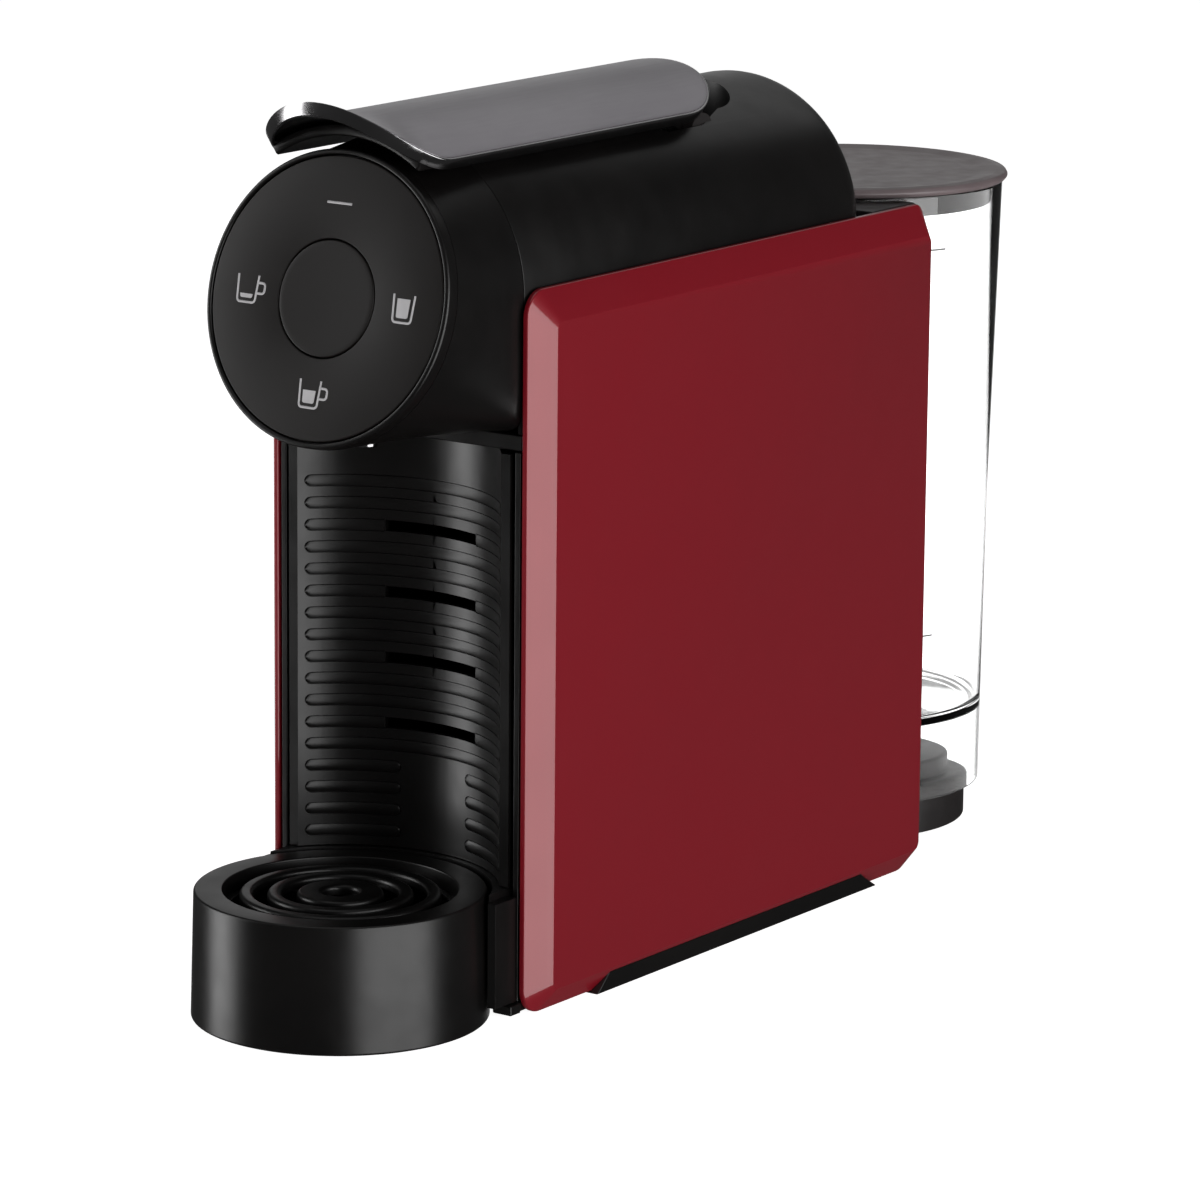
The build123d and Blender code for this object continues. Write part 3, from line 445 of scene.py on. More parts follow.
def side_panel(name, side):
    """A chamfered side shell with a notch for the skid; side is 1 on the right, -1 on the left."""
    band_end, rise = PANEL_INNER + PANEL_BAND, CHAMFER_FRONT
    profile = rounded([(PANEL_INNER, 0), (band_end, 0), (HALF_WIDTH, rise),
                       (HALF_WIDTH, 2 * rise)], [0, 0.8, 1.0, 0], 5, closed=False)
    rings = [panel_ring(HALF_WIDTH - 2.6, 1.05, 2.0), panel_ring(PANEL_INNER, 0, 2.2),
             panel_ring(PANEL_INNER, 0, 0.3), panel_ring(PANEL_INNER + 0.3, 0)]
    rings += [panel_ring(x, rise_here / rise) for x, rise_here in profile[1:-1]]
    points, faces = stack(rings)
    notch = prism(skid_outline(0.3), PANEL_INNER - 1, HALF_WIDTH + 2, along_x)
    panel = carve(mesh_object(name, points, faces), notch)
    if side < 0:
        panel.data.transform(Matrix.Diagonal((-1, 1, 1, 1)))
        panel.data.flip_normals()
    return shade(panel, sharp=38)


place(side_panel("right_side_panel", 1), "housing", "red_panel", "side_panel_right")
place(side_panel("left_side_panel", -1), "housing", "red_panel", "side_panel_left")


# Chassis, base and feet ------------------------------------------------------------------
for side, node in ((1, "chassis_right"), (-1, "chassis_left")):
    low, high = span(node)
    plate = mesh_object(node + "_plate", *slab(low, high))
    place(shade(plate, 0.4), "housing", "black_satin", node)

lip_x, lip_front, lip_back = BASE_HIGH.x, BASE_LOW.y, CHASSIS_LOW.y - 0.3
base_x, base_back, tail_x = 50.4, CHASSIS_HIGH.y, 32.0
tray_clearance = TRAY_HIGH.x + 1.2
lip_turn = degrees(asin((lip_front - TRAY_Y) / tray_clearance))
base_outline = [(base_x, lip_back), (base_x, base_back), (-base_x, base_back),
                (-base_x, lip_back), (-lip_x, lip_back), (-lip_x, lip_front)]
base_outline += arc((0, TRAY_Y), tray_clearance, 180 - lip_turn, 2 * lip_turn - 180, 48)
base_outline += [(lip_x, lip_front), (lip_x, lip_back)]
tail_front, tail_draft = base_back - 0.5, 1.2
tail_rings = [[(-x, tail_front, z), (x, tail_front, z), (x, y, z), (-x, y, z)]
              for x, y, z in ((tail_x, BASE_HIGH.y, BASE_LOW.z),
                              (tail_x - tail_draft, BASE_HIGH.y - tail_draft, BASE_HIGH.z))]
base = mesh_object("base_floor", *joined(prism(base_outline, BASE_LOW.z, FLOOR_TOP, along_z),
                                         stack(tail_rings)))
place(shade(base, 0.5), "housing", "black_satin", "base_plate")

rails = joined(*(prism(skid_outline(), low, high, along_x)
                 for low, high in ((base_x, RAIL_HIGH.x), (RAIL_LOW.x, -base_x))))
place(shade(mesh_object("skids", *rails), 0.5), "housing", "black_satin", "skid_rails")

foot_low, foot_high = span("rubber_feet")
foot_radius = 8.0
feet = []
for x in (foot_low.x + foot_radius, foot_high.x - foot_radius):
    for y in (foot_low.y + foot_radius, foot_high.y - foot_radius):
        profile = rounded([(0, foot_low.z), (foot_radius, foot_low.z), (foot_radius, foot_high.z),
                           (0, foot_high.z)], [0, 0.7, 0, 0], 4)
        points, faces = spun_up(profile, y, 40)
        feet.append(([(px + x, py, pz) for px, py, pz in points], faces))
place(shade(mesh_object("feet", *joined(*feet))), "housing", "rubber", "rubber_feet")

drop_half, drop_front, drop_back = 22, -92, -58      # opening that spent capsules fall through
hose_y, hose_hole = 48, 4.5
under_shelf, over_shelf = SHELF_LOW.z - 1, SHELF_HIGH.z + 1
shelf = mesh_object("shelf", *slab(SHELF_LOW, SHELF_HIGH))
carve(shelf, slab((-drop_half, drop_front, under_shelf), (drop_half, drop_back, over_shelf)),
      spun_up([(0, under_shelf), (hose_hole, under_shelf), (hose_hole, over_shelf),
               (0, over_shelf)], hose_y, 32))
place(shade(shelf, 0.6), "housing", "black_satin", "brew_shelf")

niche_turn = degrees(asin((TANK_Y - DECK_HIGH.y) / NICHE_RADIUS))
deck_outline = [(DECK_LOW.x, DECK_LOW.y), (DECK_HIGH.x, DECK_LOW.y),
                (DECK_HIGH.x, DECK_HIGH.y)]
deck_outline += arc((0, TANK_Y), NICHE_RADIUS, -niche_turn, 2 * niche_turn - 180, 40)
deck_outline += [(DECK_LOW.x, DECK_HIGH.y)]
deck = mesh_object("deck", *prism(deck_outline, DECK_LOW.z, DECK_HIGH.z, along_z))
place(shade(deck, 0.5), "housing", "grey_plastic", "rear_deck")


# Hood ------------------------------------------------------------------------------------
def arch_ring(y, inset, bottom):
    """Half circle on straight sides, moved in from the hood's surface."""
    radius = HOOD_RADIUS - inset
    heights = (ARCH_Z - 15, ARCH_Z - 30, bottom)
    outline = arc((0, ARCH_Z), radius, 0, 180, 72)
    outline += [(-radius, z) for z in heights] + [(radius, z) for z in heights[::-1]]
    return [(x, y, z) for x, z in outline]


def hood_solid(inset, front, bottom):
    """The hood's outside moved in by inset, with its rear edge rounded over."""
    rear, turn = HOOD_HIGH.y - inset, HOOD_REAR_ROUND - inset
    steps = 12
    rings = [arch_ring(front + back, inset + more, bottom)
             for back, more in ((0, 0.4), (0.15, 0.12), (0.5, 0))]
    for step in range(steps + 1):
        angle = radians(90 * step / steps)
        rings.append(arch_ring(rear - turn + turn * sin(angle), inset + turn * (1 - cos(angle)),
                               bottom))
    return stack(rings)


inlet_half, inlet_front, inlet_back = 20.0, -90.0, -60.0      # capsule slot under the lever
inlet_outline = rounded([(-inlet_half, inlet_front), (inlet_half, inlet_front),
                         (inlet_half, inlet_back), (-inlet_half, inlet_back)], 3.0, 6)


def well_ring(grow):
    """Plan of the lever's well: wide and straight in front, a narrower full curve behind."""
    half, length, power = WELL_HALF - 5.5 + grow, WELL_LENGTH + grow, 2 / 2.2
    wide, front, shoulder = WELL_HALF + grow, WELL_FRONT - grow, 9
    curve = []
    for i in range(65):
        turn = pi * i / 64
        across = cos(turn)
        side = 1 if across >= 0 else -1
        curve.append((side * half * abs(across) ** power,
                      WELL_CENTRE + length * sin(turn) ** power))
    plan = [(wide, front), (wide, shoulder)] + curve + [(-wide, shoulder), (-wide, front)]
    return rounded(plan, [3.0, 6.0] + [0] * (len(plan) - 4) + [6.0, 3.0], 6)


above_hood = HOOD_HIGH.z + 8
hood_inside = hood_solid(HOOD_WALL, HOOD_LOW.y - 5, HOOD_LOW.z - 5)
hood = mesh_object("hood_cover", *hood_solid(0, HOOD_LOW.y, HOOD_LOW.z))
carve(hood, hood_inside, prism(inlet_outline, 270, above_hood, along_z),
      prism(well_ring(0), WELL_FLOOR - 4, above_hood, along_z))
place(shade(hood, 0.5, 3, 40), "housing", "black_satin", "hood")

sector_inner, sector_outer = 23.8, 29.2      # the lever's toothed sectors pass through the floor
well = mesh_object("lever_recess", *prism(well_ring(1.5), WELL_BOTTOM, above_hood, along_z))
carve(well, prism(well_ring(0), WELL_FLOOR, above_hood + 1, along_z))
carve(well, hood_inside, keep_inside=True)
carve(well, *(slab((low, PIVOT_Y - 14, WELL_BOTTOM - 1.5), (high, PIVOT_Y + 15, WELL_FLOOR + 1))
              for low, high in ((sector_inner, sector_outer), (-sector_outer, -sector_inner))))
place(shade(well, 0.2), "housing", "black_satin", "lever_well")
ear_outline = [(PIVOT_Y - 5, WELL_FLOOR - 1), (PIVOT_Y + 5, WELL_FLOOR - 1)]
ear_outline += arc((PIVOT_Y, PIVOT_Z - 1.5), 3.6, -20, 220, 20)
ear_outer = WELL_HALF + 0.5
ears = joined(*(prism(ear_outline, low, high, along_x)
                for low, high in ((sector_outer, ear_outer), (-ear_outer, -sector_outer))))
place(shade(mesh_object("pivot_ears", *ears), 0.3), "housing", "black_satin")

pin_low, pin_high = span("lever_pin")
pin_radius, pin_chamfer = (pin_high.z - pin_low.z) / 2, 0.5
pin_end = WELL_HALF - pin_chamfer
pin_rings = [[(x, PIVOT_Y + r * cos(t), PIVOT_Z + r * sin(t)) for t in full_turn(32)]
             for x, r in ((-WELL_HALF, pin_radius - pin_chamfer), (-pin_end, pin_radius),
                          (pin_end, pin_radius), (WELL_HALF, pin_radius - pin_chamfer))]
place(shade(mesh_object("pivot_pin", *stack(pin_rings))), "housing", "steel", "lever_pin")


# Head and control face -------------------------------------------------------------------
def head_ring(share, inset, beyond=0.0):
    """Outline of the head: an upright arch at its root that becomes the leaned face's circle."""
    radius = HOOD_RADIUS + (FACE_RADIUS - HOOD_RADIUS) * share - inset
    drop = ARCH_Z - HOOD_LOW.z - 0.3
    low = drop + (FACE_RADIUS - drop) * share - inset
    power = 0.13 + 0.87 * share ** 0.85
    root_y = HEAD_HIGH.y + (beyond if share == 0 else 0)
    outline = []
    count = 128
    for i in range(count):
        turn = 2 * pi * i / count
        across, rise = cos(turn), sin(turn)
        side = 1 if across >= 0 else -1
        x, up = radius * across, radius * rise
        if rise < 0:
            x, up = side * radius * abs(across) ** power, -low * abs(rise) ** power
        root = Vector((x, root_y, ARCH_Z + up))
        face = Vector(on_face(x, up, BEZEL_DEPTH - (beyond if share == 1 else 0)))
        outline.append(tuple(root.lerp(face, share)))
    return outline


def head_solid(inset, beyond=0.0):
    """The head from its root to its front, moved in by inset and lengthened at both ends."""
    rings = [head_ring(0, inset, beyond)] if inset else [head_ring(0, 0.4)]
    steps = 18
    rings += [head_ring(max(step / steps, 0.008), inset) for step in range(steps + 1)]
    if inset:
        rings.append(head_ring(1, inset, beyond))
    return stack(rings)


spout_outer, spout_inner, spout_hole = 3.6, 2.4, 3.9
head = mesh_object("head_cover", *head_solid(0))
carve(head, head_solid(HEAD_WALL, 5),
      spun_up([(0, 180), (spout_hole, 180), (spout_hole, 212), (0, 212)], SPOUT_Y, 40))
place(shade(head, 0.25, 2, 50), "housing", "black_satin", "head_shell")

opening, ledge_radius, ledge_depth = FACE_RADIUS - 1.9, 43, 3.6
bezel = spun_face(rounded([(FACE_RADIUS, BEZEL_DEPTH), (FACE_RADIUS, 0), (opening, 0),
                           (opening, ledge_depth), (ledge_radius, ledge_depth),
                           (ledge_radius, BEZEL_DEPTH)], [0.3, 1.0, 0.55, 0, 0, 0], 6))
place(shade(mesh_object("bezel", *bezel)), "housing", "black_satin", "bezel_ring")

plate_front = 0.3
plate_radius, plate_hole = opening - 0.45, BUTTON_RADIUS + 0.45
plate = spun_face(rounded([(plate_radius, PLATE_DEPTH), (plate_radius, plate_front),
                           (plate_hole, plate_front), (plate_hole, PLATE_DEPTH)],
                          [0, 0.5, 0.35, 0], 5))
place(shade(mesh_object("control_face", *plate)), "housing", "black_gloss", "face_plate")

dish, stem_radius = 0.25, 4.8
button = spun_face([(0, plate_front + dish), (BUTTON_RADIUS * 0.5, plate_front + dish * 0.72)]
                   + rounded([(BUTTON_RADIUS * 0.9, plate_front - 0.02),
                              (BUTTON_RADIUS, plate_front - 0.05),
                              (BUTTON_RADIUS, PLATE_DEPTH)], [0.6, 0.45, 0], 5, closed=False)
                   + [(stem_radius, PLATE_DEPTH), (stem_radius, STEM_DEPTH), (0, STEM_DEPTH)])
place(shade(mesh_object("button", *button)), "button", "black_gloss", "centre_button")

spout = spun_up(rounded([(spout_outer, SPOUT_HIGH.z), (spout_outer, SPOUT_LOW.z),
                         (spout_inner, SPOUT_LOW.z), (spout_inner, SPOUT_HIGH.z)],
                        [0, 0.5, 0.4, 0], 5), SPOUT_Y, 48)
place(shade(mesh_object("spout", *spout)), "housing", "chrome", "spout_tip")


# Legends on the control face -------------------------------------------------------------
LEGEND_REACH = 31.2
STROKE, PROUD = 0.55, 0.2
CUP_WIDTH, CUP_HEIGHT, HANDLE_SHIFT = 8.4, 9.0, 1.3
CUP_FOOT = CUP_WIDTH / 2 * 0.86


def strokes(name, lines, body):
    """Fine printed lines as half-sunk wires; points are (x, up) on the control face."""
    curve = bpy.data.curves.new(name, "CURVE")
    curve.dimensions = "3D"
    curve.bevel_depth, curve.bevel_resolution = STROKE * MM, 3
    curve.use_fill_caps = True
    for line in lines:
        spline = curve.splines.new("POLY")
        spline.points.add(len(line) - 1)
        for point, (x, up) in zip(spline.points, line):
            point.co = (*(Vector(on_face(x, up, plate_front + STROKE - PROUD)) * MM), 1)
    obj = bpy.data.objects.new(name, curve)
    bpy.context.scene.collection.objects.link(obj)
    curve.materials.append(legend_print)
    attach(obj, body)


def fill_block(outline):
    """A thin raised patch on the control face."""
    return stack([[on_face(x, up, depth) for x, up in outline]
                  for depth in (plate_front + 0.2, plate_front - PROUD)])


def cup_lines(x, z, handle):
    """A cup in outline, open at the top, with or without a handle on its right."""
    side, top, bottom = CUP_WIDTH / 2, z + CUP_HEIGHT / 2, z - CUP_HEIGHT / 2
    lines = [rounded([(x - side, top), (x - CUP_FOOT, bottom), (x + CUP_FOOT, bottom),
                      (x + side, top)], [0, 1.2, 1.2, 0], 5, closed=False)]
    if handle:
        wall = x + side
        lines.append(rounded([(wall - 0.2, z + 2.2), (wall + 2.9, z + 2.2), (wall + 2.9, z - 1.3),
                              (wall - 0.5, z - 1.3)], [0, 1.1, 1.1, 0], 4, closed=False))
    return lines


def drink(x, z, level):
    """The filled part of a cup, up to a share of its height."""
    half, low = CUP_FOOT - 1.35, z - CUP_HEIGHT / 2 + 1.4
    top = low + (CUP_HEIGHT - 2.2) * level
    return rounded([(x - half, low), (x + half, low), (x + half + 0.3, top),
                    (x - half - 0.3, top)], [0.7, 0.7, 0.1, 0.1], 4)


for legend, x, z, handle, fullness in (
        ("small_cup", -LEGEND_REACH - HANDLE_SHIFT, 0, True, 0.2),
        ("large_cup", -HANDLE_SHIFT, -LEGEND_REACH, True, 0.62),
        ("tall_glass", LEGEND_REACH, 0, False, 0.92)):
    strokes(legend + "_outline", cup_lines(x, z, handle), "housing")
    patch = mesh_object(legend + "_fill", *fill_block(drink(x, z, fullness)))
    patch.data.materials.append(legend_print)
    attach(patch, "housing")

lamp_half = 5.0
strokes("status_line", [[(-lamp_half, LEGEND_REACH), (lamp_half, LEGEND_REACH)]], "housing")


# Lever -----------------------------------------------------------------------------------
LEVER_RADIUS, LEVER_WALL = 58.4, 3.0
LEVER_HALF = LEVER_HIGH.x
LEVER_END_Y = LEVER_HIGH.y - LEVER_HALF
NOSE_LENGTH, NOSE_LEAD, NOSE_POWER = 27.0, 4, 2.8
NOSE_Y = LEVER_LOW.y + NOSE_LENGTH
NOSE_RISE = LEVER_HIGH.z - ARCH_Z - LEVER_RADIUS


def lever_rim():
    """The lever's plan as (spine y, reach in x, reach in y) all the way round."""
    rim, steps, sides = [], 40, 24
    for i in range(steps):
        turn = radians(180 * i / steps)
        rim.append((LEVER_END_Y, LEVER_HALF * cos(turn), LEVER_HALF * sin(turn)))
    for i in range(sides):
        rim.append((LEVER_END_Y + (NOSE_Y - LEVER_END_Y) * i / sides, -LEVER_HALF, 0))
    for i in range(steps):
        turn = radians(180 + 180 * i / steps)
        rim.append((NOSE_Y, LEVER_HALF * cos(turn), NOSE_LENGTH * sin(turn)))
    for i in range(sides):
        rim.append((NOSE_Y + (LEVER_END_Y - NOSE_Y) * i / sides, LEVER_HALF, 0))
    return rim


def lever_point(spine, reach_x, reach_y, share, depth):
    """Point of the lever at a share of the way to its rim, some depth under its surface."""
    x, y = reach_x * share, spine + reach_y * share
    lift = max(0.0, (NOSE_Y + NOSE_LEAD - y) / (NOSE_LENGTH + NOSE_LEAD))
    radius = LEVER_RADIUS + NOSE_RISE * lift ** NOSE_POWER
    up = sqrt(radius ** 2 - x ** 2)
    inward = 1 - depth / radius
    return x * inward, y, ARCH_Z + up * inward


def lever_solid(section):
    """The lever's plan repeated at every (share, depth) of a section, from its spine out."""
    rim = lever_rim()
    return stack([[lever_point(*place_on_rim, share, depth) for place_on_rim in rim]
                  for share, depth in section], closed=False)


inner_shares = (0, 0.18, 0.36, 0.54, 0.70, 0.84, 0.93)
edge = [(0.984, 0), (0.992, 0.03), (0.998, 0.14), (1.0, 0.35), (1.0, 2.4), (1.0, 4.2),
        (0.997, 4.5), (0.99, 4.6), (0.968, 4.6), (0.96, 4.4), (0.95, 3.1)]
body_section = [(s, 0) for s in inner_shares] + edge
body_section += [(s, LEVER_WALL) for s in inner_shares[::-1]]
lever = mesh_object("lever_cover", *lever_solid(body_section))
place(shade(lever, sharp=60), "lever", "chrome", "lever_plate")
skin_section = [(s, -0.15) for s in inner_shares] + [(0.972, -0.15), (0.978, -0.08), (0.98, 0.1)]
skin_section += [(s, 0.2) for s in (0.97, *inner_shares[::-1])]
skin = mesh_object("lever_top_skin", *lever_solid(skin_section))
place(shade(skin, sharp=60), "lever", "lever_metal")


ARM_OUTER, ARM_WALL, ARM_HALF_ANGLE, ARM_BACK = ARM_HIGH.z - ARCH_Z, 3.8, 34.0, -12.0
LUG_INNER, LUG_OUTER, HUB_RADIUS = 19.5, 24.3, 6.5


def arm_ring(y, inset):
    """Strip of an arch in the plane y, moved in by inset from the arm's surface."""
    start, size = 90 - ARM_HALF_ANGLE + inset, 2 * (ARM_HALF_ANGLE - inset)
    over = arc((0, ARCH_Z), ARM_OUTER - inset, start, size, 32)
    under = arc((0, ARCH_Z), ARM_OUTER - ARM_WALL + inset, start + size, -size, 32)
    return [(x, y, z) for x, z in over + under]


arm_rings = [arm_ring(y, inset)
             for y, inset in ((ARM_LOW.y, 0.8), (ARM_LOW.y + 0.3, 0.3), (ARM_LOW.y + 1, 0),
                              (-80, 0), (ARM_BACK - 1, 0), (ARM_BACK - 0.3, 0.3),
                              (ARM_BACK, 0.8))]
lug_outline = [(PIVOT_Y - HUB_RADIUS, PIVOT_Z), (-11, 289), (-14, 291.5), (14, 291.5),
               (PIVOT_Y + HUB_RADIUS, PIVOT_Z)]
lug_outline += arc((PIVOT_Y, PIVOT_Z), HUB_RADIUS, 0, -180, 24)[1:-1]
lugs = [prism(lug_outline, low, high, along_x)
        for low, high in ((LUG_INNER, LUG_OUTER), (-LUG_OUTER, -LUG_INNER))]
arm = mesh_object("lever_root", *joined(stack(arm_rings), *lugs))
place(shade(arm, 0.3, 2, 40), "lever", "black_satin", "lever_arm")


# Capsule bin front -----------------------------------------------------------------------
RIB_ROWS, RIB_PITCH, RIB_TOP_Z, RIB_HALF = 17, 7.57, 170.7, 1.9
SLOT_EVERY, SLOT_LAST, SLOT_HALF = 3, 12, 19.2
SPLIT_FROM = 14
RIB_END, SPLIT_END = 50.8, 15.1                 # degrees from the middle of the wall
GROOVE = 0.26
FLANGE_OUTER = BIN_HIGH.x
edge_angle = degrees(acos((BIN_LOW.y - TRAY_Y) / CONCAVE_RADIUS))


def on_wall(turn, z, out):
    """Point on the concave front: turn in degrees from the middle, out towards the cup."""
    radius = CONCAVE_RADIUS - out
    return radius * sin(radians(turn)), TRAY_Y + radius * cos(radians(turn)), z


def rib(start, end, z, half, section, round_start, round_end):
    """A bar along the wall from one angle to another, with rounded or square ends."""
    reach = degrees(half / CONCAVE_RADIUS)
    rounding = [(reach * (1 - cos(radians(t))), half * sin(radians(t))) for t in (12, 35, 60, 90)]
    places = [(start + d, h) for d, h in rounding] if round_start else [(start, half)]
    first, last = places[-1][0], end - (reach if round_end else 0)
    steps = max(2, int((last - first) / 2))
    places += [(first + (last - first) * i / steps, half) for i in range(1, steps + 1)]
    if round_end:
        places += [(end - d, h) for d, h in reversed(rounding[:-1])]
    return stack([[on_wall(turn, z + share * height, out) for share, out in section]
                  for turn, height in places])


def row_z(row):
    """Height of a row of bars; rows count down from 1."""
    return RIB_TOP_Z - RIB_PITCH * (row - 1)


def rib_runs():
    """(start, end, z, round start, round end) of every bar on the wall, in degrees."""
    slot_turn = degrees(asin(SLOT_HALF / CONCAVE_RADIUS))
    for row in range(1, RIB_ROWS + 1):
        z = row_z(row)
        if row >= SPLIT_FROM:
            yield -RIB_END, -SPLIT_END, z, True, True
            yield SPLIT_END, RIB_END, z, True, True
        elif row % SLOT_EVERY == 0 and row <= SLOT_LAST:
            yield -RIB_END, -slot_turn, z, True, False
            yield slot_turn, RIB_END, z, False, True
        else:
            yield -RIB_END, RIB_END, z, True, True


pad_section = [(-1, -0.9), (-1, 0.0), (-0.9, 0.1), (0, 0.16), (0.9, 0.1), (1, 0.0), (1, -0.9)]
groove_section = [(-1, -0.6), (-1, 1.0), (1, 1.0), (1, -0.6)]
grow = degrees(GROOVE / CONCAVE_RADIUS)
pads, grooves = [], []
for start, end, z, round_start, round_end in rib_runs():
    pads.append(rib(start, end, z, RIB_HALF, pad_section, round_start, round_end))
    grooves.append(rib(start - grow, end + grow, z, RIB_HALF + GROOVE, groove_section,
                       round_start, round_end))
slots = [slab((-SLOT_HALF, -112, z - RIB_HALF), (SLOT_HALF, -90, z + RIB_HALF))
         for z in map(row_z, range(SLOT_EVERY, SLOT_LAST + 1, SLOT_EVERY))]

back_radius = CONCAVE_RADIUS + BIN_WALL
back_y = TRAY_Y + back_radius * cos(radians(edge_angle))
wall_plan = arc((0, TRAY_Y), CONCAVE_RADIUS, 90 + edge_angle, -2 * edge_angle, 72)
wall_plan += [(FLANGE_OUTER, BIN_LOW.y), (FLANGE_OUTER, back_y)]
wall_plan += arc((0, TRAY_Y), back_radius, 90 - edge_angle, 2 * edge_angle, 72)
wall_plan += [(-FLANGE_OUTER, back_y), (-FLANGE_OUTER, BIN_LOW.y)]
wall = mesh_object("bin_wall", *prism(wall_plan, BIN_LOW.z, BIN_HIGH.z, along_z))
carve(wall, joined(*grooves), joined(*slots))
place(shade(wall, sharp=35), "bin", "black_satin", "bin_front")
ribs = mesh_object("bin_ribs", *joined(*pads))
place(shade(ribs, sharp=50), "bin", "black_satin")


# Drip tray, its grid and its dock --------------------------------------------------------
tray_top_radius, tray_foot_radius = 48.7, TRAY_HIGH.x
rim_hole, ledge_hole, ledge_z, tray_floor = 39.2, 36.8, 37.4, 2.6
tray_profile = rounded([
    (0, TRAY_LOW.z), (tray_foot_radius, TRAY_LOW.z), (tray_top_radius, TRAY_HIGH.z),
    (rim_hole, TRAY_HIGH.z), (rim_hole, ledge_z), (ledge_hole, ledge_z),
    (ledge_hole, ledge_z - 1.4), (tray_top_radius - 2.2, 28), (tray_foot_radius - 2, tray_floor),
    (0, tray_floor)], [0, 0.9, 0.9, 0.5, 0, 0.3, 0, 2, 2, 0], 6)
tray = mesh_object("tray", *spun_up(tray_profile, TRAY_Y, 160))
place(shade(tray), "tray", "black_satin", "drip_tray")

grid_top, grid_foot = GRID_HIGH.z, 39.4
rings = [spun_up(rounded([(outer, grid_foot), (outer, grid_top), (inner, grid_top),
                          (inner, grid_foot)], [0, 1.6, 1.6, 0], 6), TRAY_Y, 128)
         for outer, inner in ((33.6, 28.9), (24.3, 19.5), (14.5, 6.2))]
bar_reach, bar_half, bar_top = GRID_HIGH.x, 1.5, 39.6
bars = [slab((-x, TRAY_Y - y, GRID_LOW.z), (x, TRAY_Y + y, bar_top))
        for x, y in ((bar_reach, bar_half), (bar_half, bar_reach))]
grid = mesh_object("grid", *joined(*rings, *bars))
place(shade(grid), "grid", "grid_black", "cup_grid")

dock_radius = tray_foot_radius + 0.6
ear_back, dock_half = -124.4, FLANGE_OUTER
ear_turn = degrees(asin((DOCK_LOW.y - TRAY_Y) / dock_radius))
dock_outline = [(DOCK_HIGH.x, DOCK_LOW.y), (DOCK_HIGH.x, ear_back), (dock_half, ear_back),
                (dock_half, DOCK_HIGH.y), (-dock_half, DOCK_HIGH.y), (-dock_half, ear_back),
                (DOCK_LOW.x, ear_back), (DOCK_LOW.x, DOCK_LOW.y)]
dock_outline += arc((0, TRAY_Y), dock_radius, 180 - ear_turn, 2 * ear_turn - 180, 72)
ear_top = DOCK_HIGH.z - 2.4
dock = mesh_object("dock", *prism(dock_outline, DOCK_LOW.z, DOCK_HIGH.z, along_z))
carve(dock, *(slab((low, DOCK_LOW.y - 1, ear_top), (high, ear_back + 1, DOCK_HIGH.z + 1))
              for low, high in ((dock_half, DOCK_HIGH.x + 1), (DOCK_LOW.x - 1, -dock_half))))
place(shade(dock, 0.6), "bin", "black_satin", "tray_dock")


# Water tank ------------------------------------------------------------------------------
TANK_WALL, TANK_FLOOR, TUBE_Z = 1.8, 50.0, TANK_LOW.z + 14.5
TANK_TOP_RADIUS, TANK_MIDDLE_RADIUS, TANK_FOOT_RADIUS = TANK_HIGH.x, 53.0, 52.0
TANK_MIDDLE_Z = 130.0
UPPER_MARK_Z, LOWER_MARK_Z = 226.5, 84.0
inner_floor = TANK_FLOOR + 2.2
tank_profile = rounded([
    (TANK_FOOT_RADIUS - TANK_WALL, TANK_LOW.z), (TANK_FOOT_RADIUS, TANK_LOW.z),
    (TANK_MIDDLE_RADIUS, TANK_MIDDLE_Z), (TANK_TOP_RADIUS, TANK_HIGH.z),
    (TANK_TOP_RADIUS - TANK_WALL, TANK_HIGH.z), (TANK_MIDDLE_RADIUS - TANK_WALL, TANK_MIDDLE_Z),
    (TANK_FOOT_RADIUS - TANK_WALL + 0.3, inner_floor), (4.2, inner_floor), (4.2, TANK_FLOOR),
    (5.5, TANK_FLOOR), (5.5, TUBE_Z), (7, TUBE_Z), (7, TANK_FLOOR),
    (TANK_FOOT_RADIUS - TANK_WALL, TANK_FLOOR)],
    [0.4, 0.4, 60, 0.6, 0.6, 60, 3.0, 0.3, 0, 0, 0.2, 0.3, 0.5, 0.4], 6)
tank = mesh_object("tank", *spun_up(tank_profile, TANK_Y, 160))
place(shade(tank), "tank", "clear_tank", "tank_shell")


def tank_radius(z):
    """Outside radius of the tank at a height."""
    if z >= TANK_MIDDLE_Z:
        share = (z - TANK_MIDDLE_Z) / (TANK_HIGH.z - TANK_MIDDLE_Z)
        return TANK_MIDDLE_RADIUS + (TANK_TOP_RADIUS - TANK_MIDDLE_RADIUS) * share
    share = (z - TANK_LOW.z) / (TANK_MIDDLE_Z - TANK_LOW.z)
    return TANK_FOOT_RADIUS + (TANK_MIDDLE_RADIUS - TANK_FOOT_RADIUS) * share


def level_mark(name, z):
    """A short raised line on the right-hand side of the tank."""
    radius = tank_radius(z) + 0.02
    section = ((0, 0.35), (0.16, 0.3), (0.16, -0.3), (0, -0.35))
    points = []
    for i in range(13):
        turn = radians(-50 + 32 * i / 12)
        points.append([((radius + out) * cos(turn), TANK_Y + (radius + out) * sin(turn), z + up)
                       for out, up in section])
    mark = mesh_object(name, *stack(points))
    mark.data.materials.append(level_print)
    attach(shade(mark), "tank")


level_mark("upper_level_mark", UPPER_MARK_Z)
level_mark("lower_level_mark", LOWER_MARK_Z)

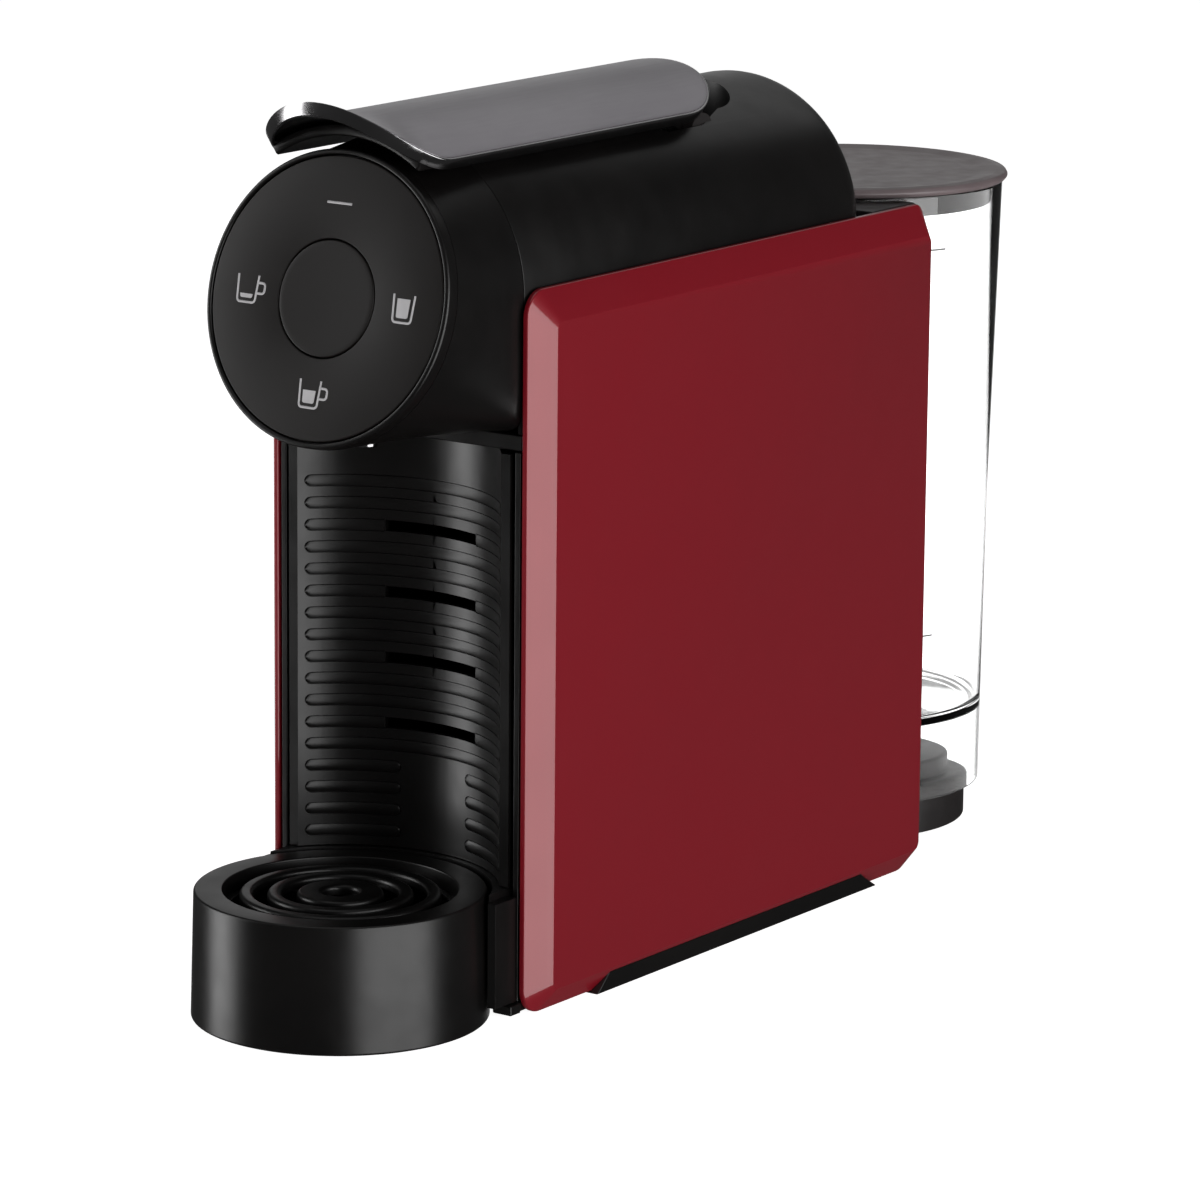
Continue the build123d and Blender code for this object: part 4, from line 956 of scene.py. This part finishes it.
lid = spun_up(rounded([(0, LID_LOW.z), (LID_RADIUS - 1.2, LID_LOW.z),
                       (LID_RADIUS, LID_LOW.z + 1.4), (LID_RADIUS - 1.0, LID_HIGH.z - 0.25),
                       (LID_RADIUS - 4, LID_HIGH.z),
                       (LID_RADIUS - 10, LID_HIGH.z - 0.7), (0, LID_HIGH.z - 1.1)],
                      [0, 0.8, 1.0, 1.2, 2.5, 5, 0], 6), TANK_Y, 160)
place(shade(mesh_object("lid", *lid), sharp=50), "lid", "lid_satin", "tank_lid")

plug_radius, plug_inner = PLUG_HIGH.x, PLUG_HIGH.x - 2.6
plug = spun_up(rounded([(plug_inner, PLUG_LOW.z), (plug_radius - 0.4, PLUG_LOW.z),
                        (plug_radius, PLUG_HIGH.z), (plug_inner, PLUG_HIGH.z)],
                       [0.4, 0.8, 0, 0], 5), TANK_Y, 128)
place(shade(mesh_object("lid_collar", *plug)), "lid", "grey_plastic", "lid_plug")

receiver_profile = rounded([
    (12, RECEIVER_HIGH.z), (9.2, RECEIVER_HIGH.z), (9.2, 20), (3.4, 20), (3.4, 16), (13, 16),
    (13, 31.8), (37.8, 31.8), (37.8, 24.8), (44.8, 24.8), (44.8, RECEIVER_LOW.z),
    (47, RECEIVER_LOW.z), (47, 27), (40, 27), (40, 34), (12, 34)],
    [0.6, 0.6, 0, 0, 0, 0, 0, 0, 0, 0, 0.3, 0.5, 2.5, 1.0, 1.5, 0.6], 5)
receiver = mesh_object("tank_seat", *spun_up(receiver_profile, TANK_Y, 128))
place(shade(receiver), "housing", "grey_plastic", "tank_receiver")


# Floor, light and camera -----------------------------------------------------------------
floor_material = bpy.data.materials.new("floor")
floor_material.use_nodes = True
floor_shader = floor_material.node_tree.nodes["Principled BSDF"]
for socket, value in (("Base Color", (0.85, 0.85, 0.85, 1)), ("Roughness", 0.9),
                      ("Specular IOR Level", 0.0), ("Emission Color", (1, 1, 1, 1)),
                      ("Emission Strength", 0.93)):
    floor_shader.inputs[socket].default_value = value

FLOOR_REACH = 6.0
floor_mesh = bpy.data.meshes.new("floor")
floor_mesh.from_pydata([(x * FLOOR_REACH, y * FLOOR_REACH, 0)
                        for x, y in ((-1, -1), (1, -1), (1, 1), (-1, 1))], [], [(0, 1, 2, 3)])
floor = bpy.data.objects.new("floor", floor_mesh)
bpy.context.scene.collection.objects.link(floor)
floor_mesh.materials.append(floor_material)
floor.visible_glossy = False

world = bpy.data.worlds.new("studio")
bpy.context.scene.world = world
world.use_nodes = True
tree = world.node_tree
backdrop = tree.nodes["Background"]
backdrop.inputs["Color"].default_value = (1, 1, 1, 1)
# White where the camera sees it, straight or through the tank; nearly dark as a light.
AMBIENT, BACKDROP = 0.05, 1.05
path = tree.nodes.new("ShaderNodeLightPath")
seen = tree.nodes.new("ShaderNodeMath")
seen.operation, seen.use_clamp = "ADD", True
strength = tree.nodes.new("ShaderNodeMapRange")
strength.inputs["To Min"].default_value = AMBIENT
strength.inputs["To Max"].default_value = BACKDROP
tree.links.new(path.outputs["Is Camera Ray"], seen.inputs[0])
tree.links.new(path.outputs["Transmission Depth"], seen.inputs[1])
tree.links.new(seen.outputs["Value"], strength.inputs["Value"])
tree.links.new(strength.outputs["Result"], backdrop.inputs["Strength"])

CENTRE = Vector((0, 0, 0.15))


def direction(azimuth, elevation):
    """Unit vector from the machine; azimuth 0 is straight in front, 90 is its right."""
    a, e = radians(azimuth), radians(elevation)
    return Vector((sin(a) * cos(e), -cos(a) * cos(e), sin(e)))


def softbox(name, azimuth, elevation, distance, width, height, radiance):
    """A rectangular light that faces the machine."""
    light = bpy.data.lights.new(name, "AREA")
    light.shape, light.size, light.size_y = "RECTANGLE", width, height
    light.energy = radiance * pi * width * height
    obj = bpy.data.objects.new(name, light)
    bpy.context.scene.collection.objects.link(obj)
    away = direction(azimuth, elevation)
    obj.location = CENTRE + away * distance
    obj.rotation_euler = away.to_track_quat("Z", "Y").to_euler()


softbox("left_strip", -60, 0, 1.7, 0.7, 1.7, 5.2)
softbox("right_box", 77, -4, 1.7, 1.9, 1.9, 4.2)
softbox("overhead", 0, 82, 1.8, 1.6, 1.6, 0.7)
softbox("rear_top", 200, 44, 1.8, 1.8, 1.0, 0.5)
softbox("behind", 215, -4, 1.7, 1.2, 1.6, 0.45)

CAMERA_AZIMUTH, CAMERA_ELEVATION, CAMERA_ROLL = 35.29, 12.72, 0.52
CAMERA_DISTANCE, CAMERA_LENS = 2.0646, 176.74
CAMERA_TARGET = Vector((-0.00544, 0, 0.11277))
back = direction(CAMERA_AZIMUTH, CAMERA_ELEVATION)
level_right = Vector((cos(radians(CAMERA_AZIMUTH)), sin(radians(CAMERA_AZIMUTH)), 0))
level_up = back.cross(level_right)
lean_cos, lean_sin = cos(radians(CAMERA_ROLL)), sin(radians(CAMERA_ROLL))
right = lean_cos * level_right + lean_sin * level_up
up = lean_cos * level_up - lean_sin * level_right
camera_data = bpy.data.cameras.new("camera")
camera_data.lens, camera_data.sensor_width = CAMERA_LENS, 36.0
camera = bpy.data.objects.new("camera", camera_data)
bpy.context.scene.collection.objects.link(camera)
camera.matrix_world = Matrix.Translation(CAMERA_TARGET + back * CAMERA_DISTANCE) @ Matrix(
    (right, up, back)).transposed().to_4x4()
bpy.context.scene.camera = camera

bpy.context.scene.view_settings.view_transform = "Standard"
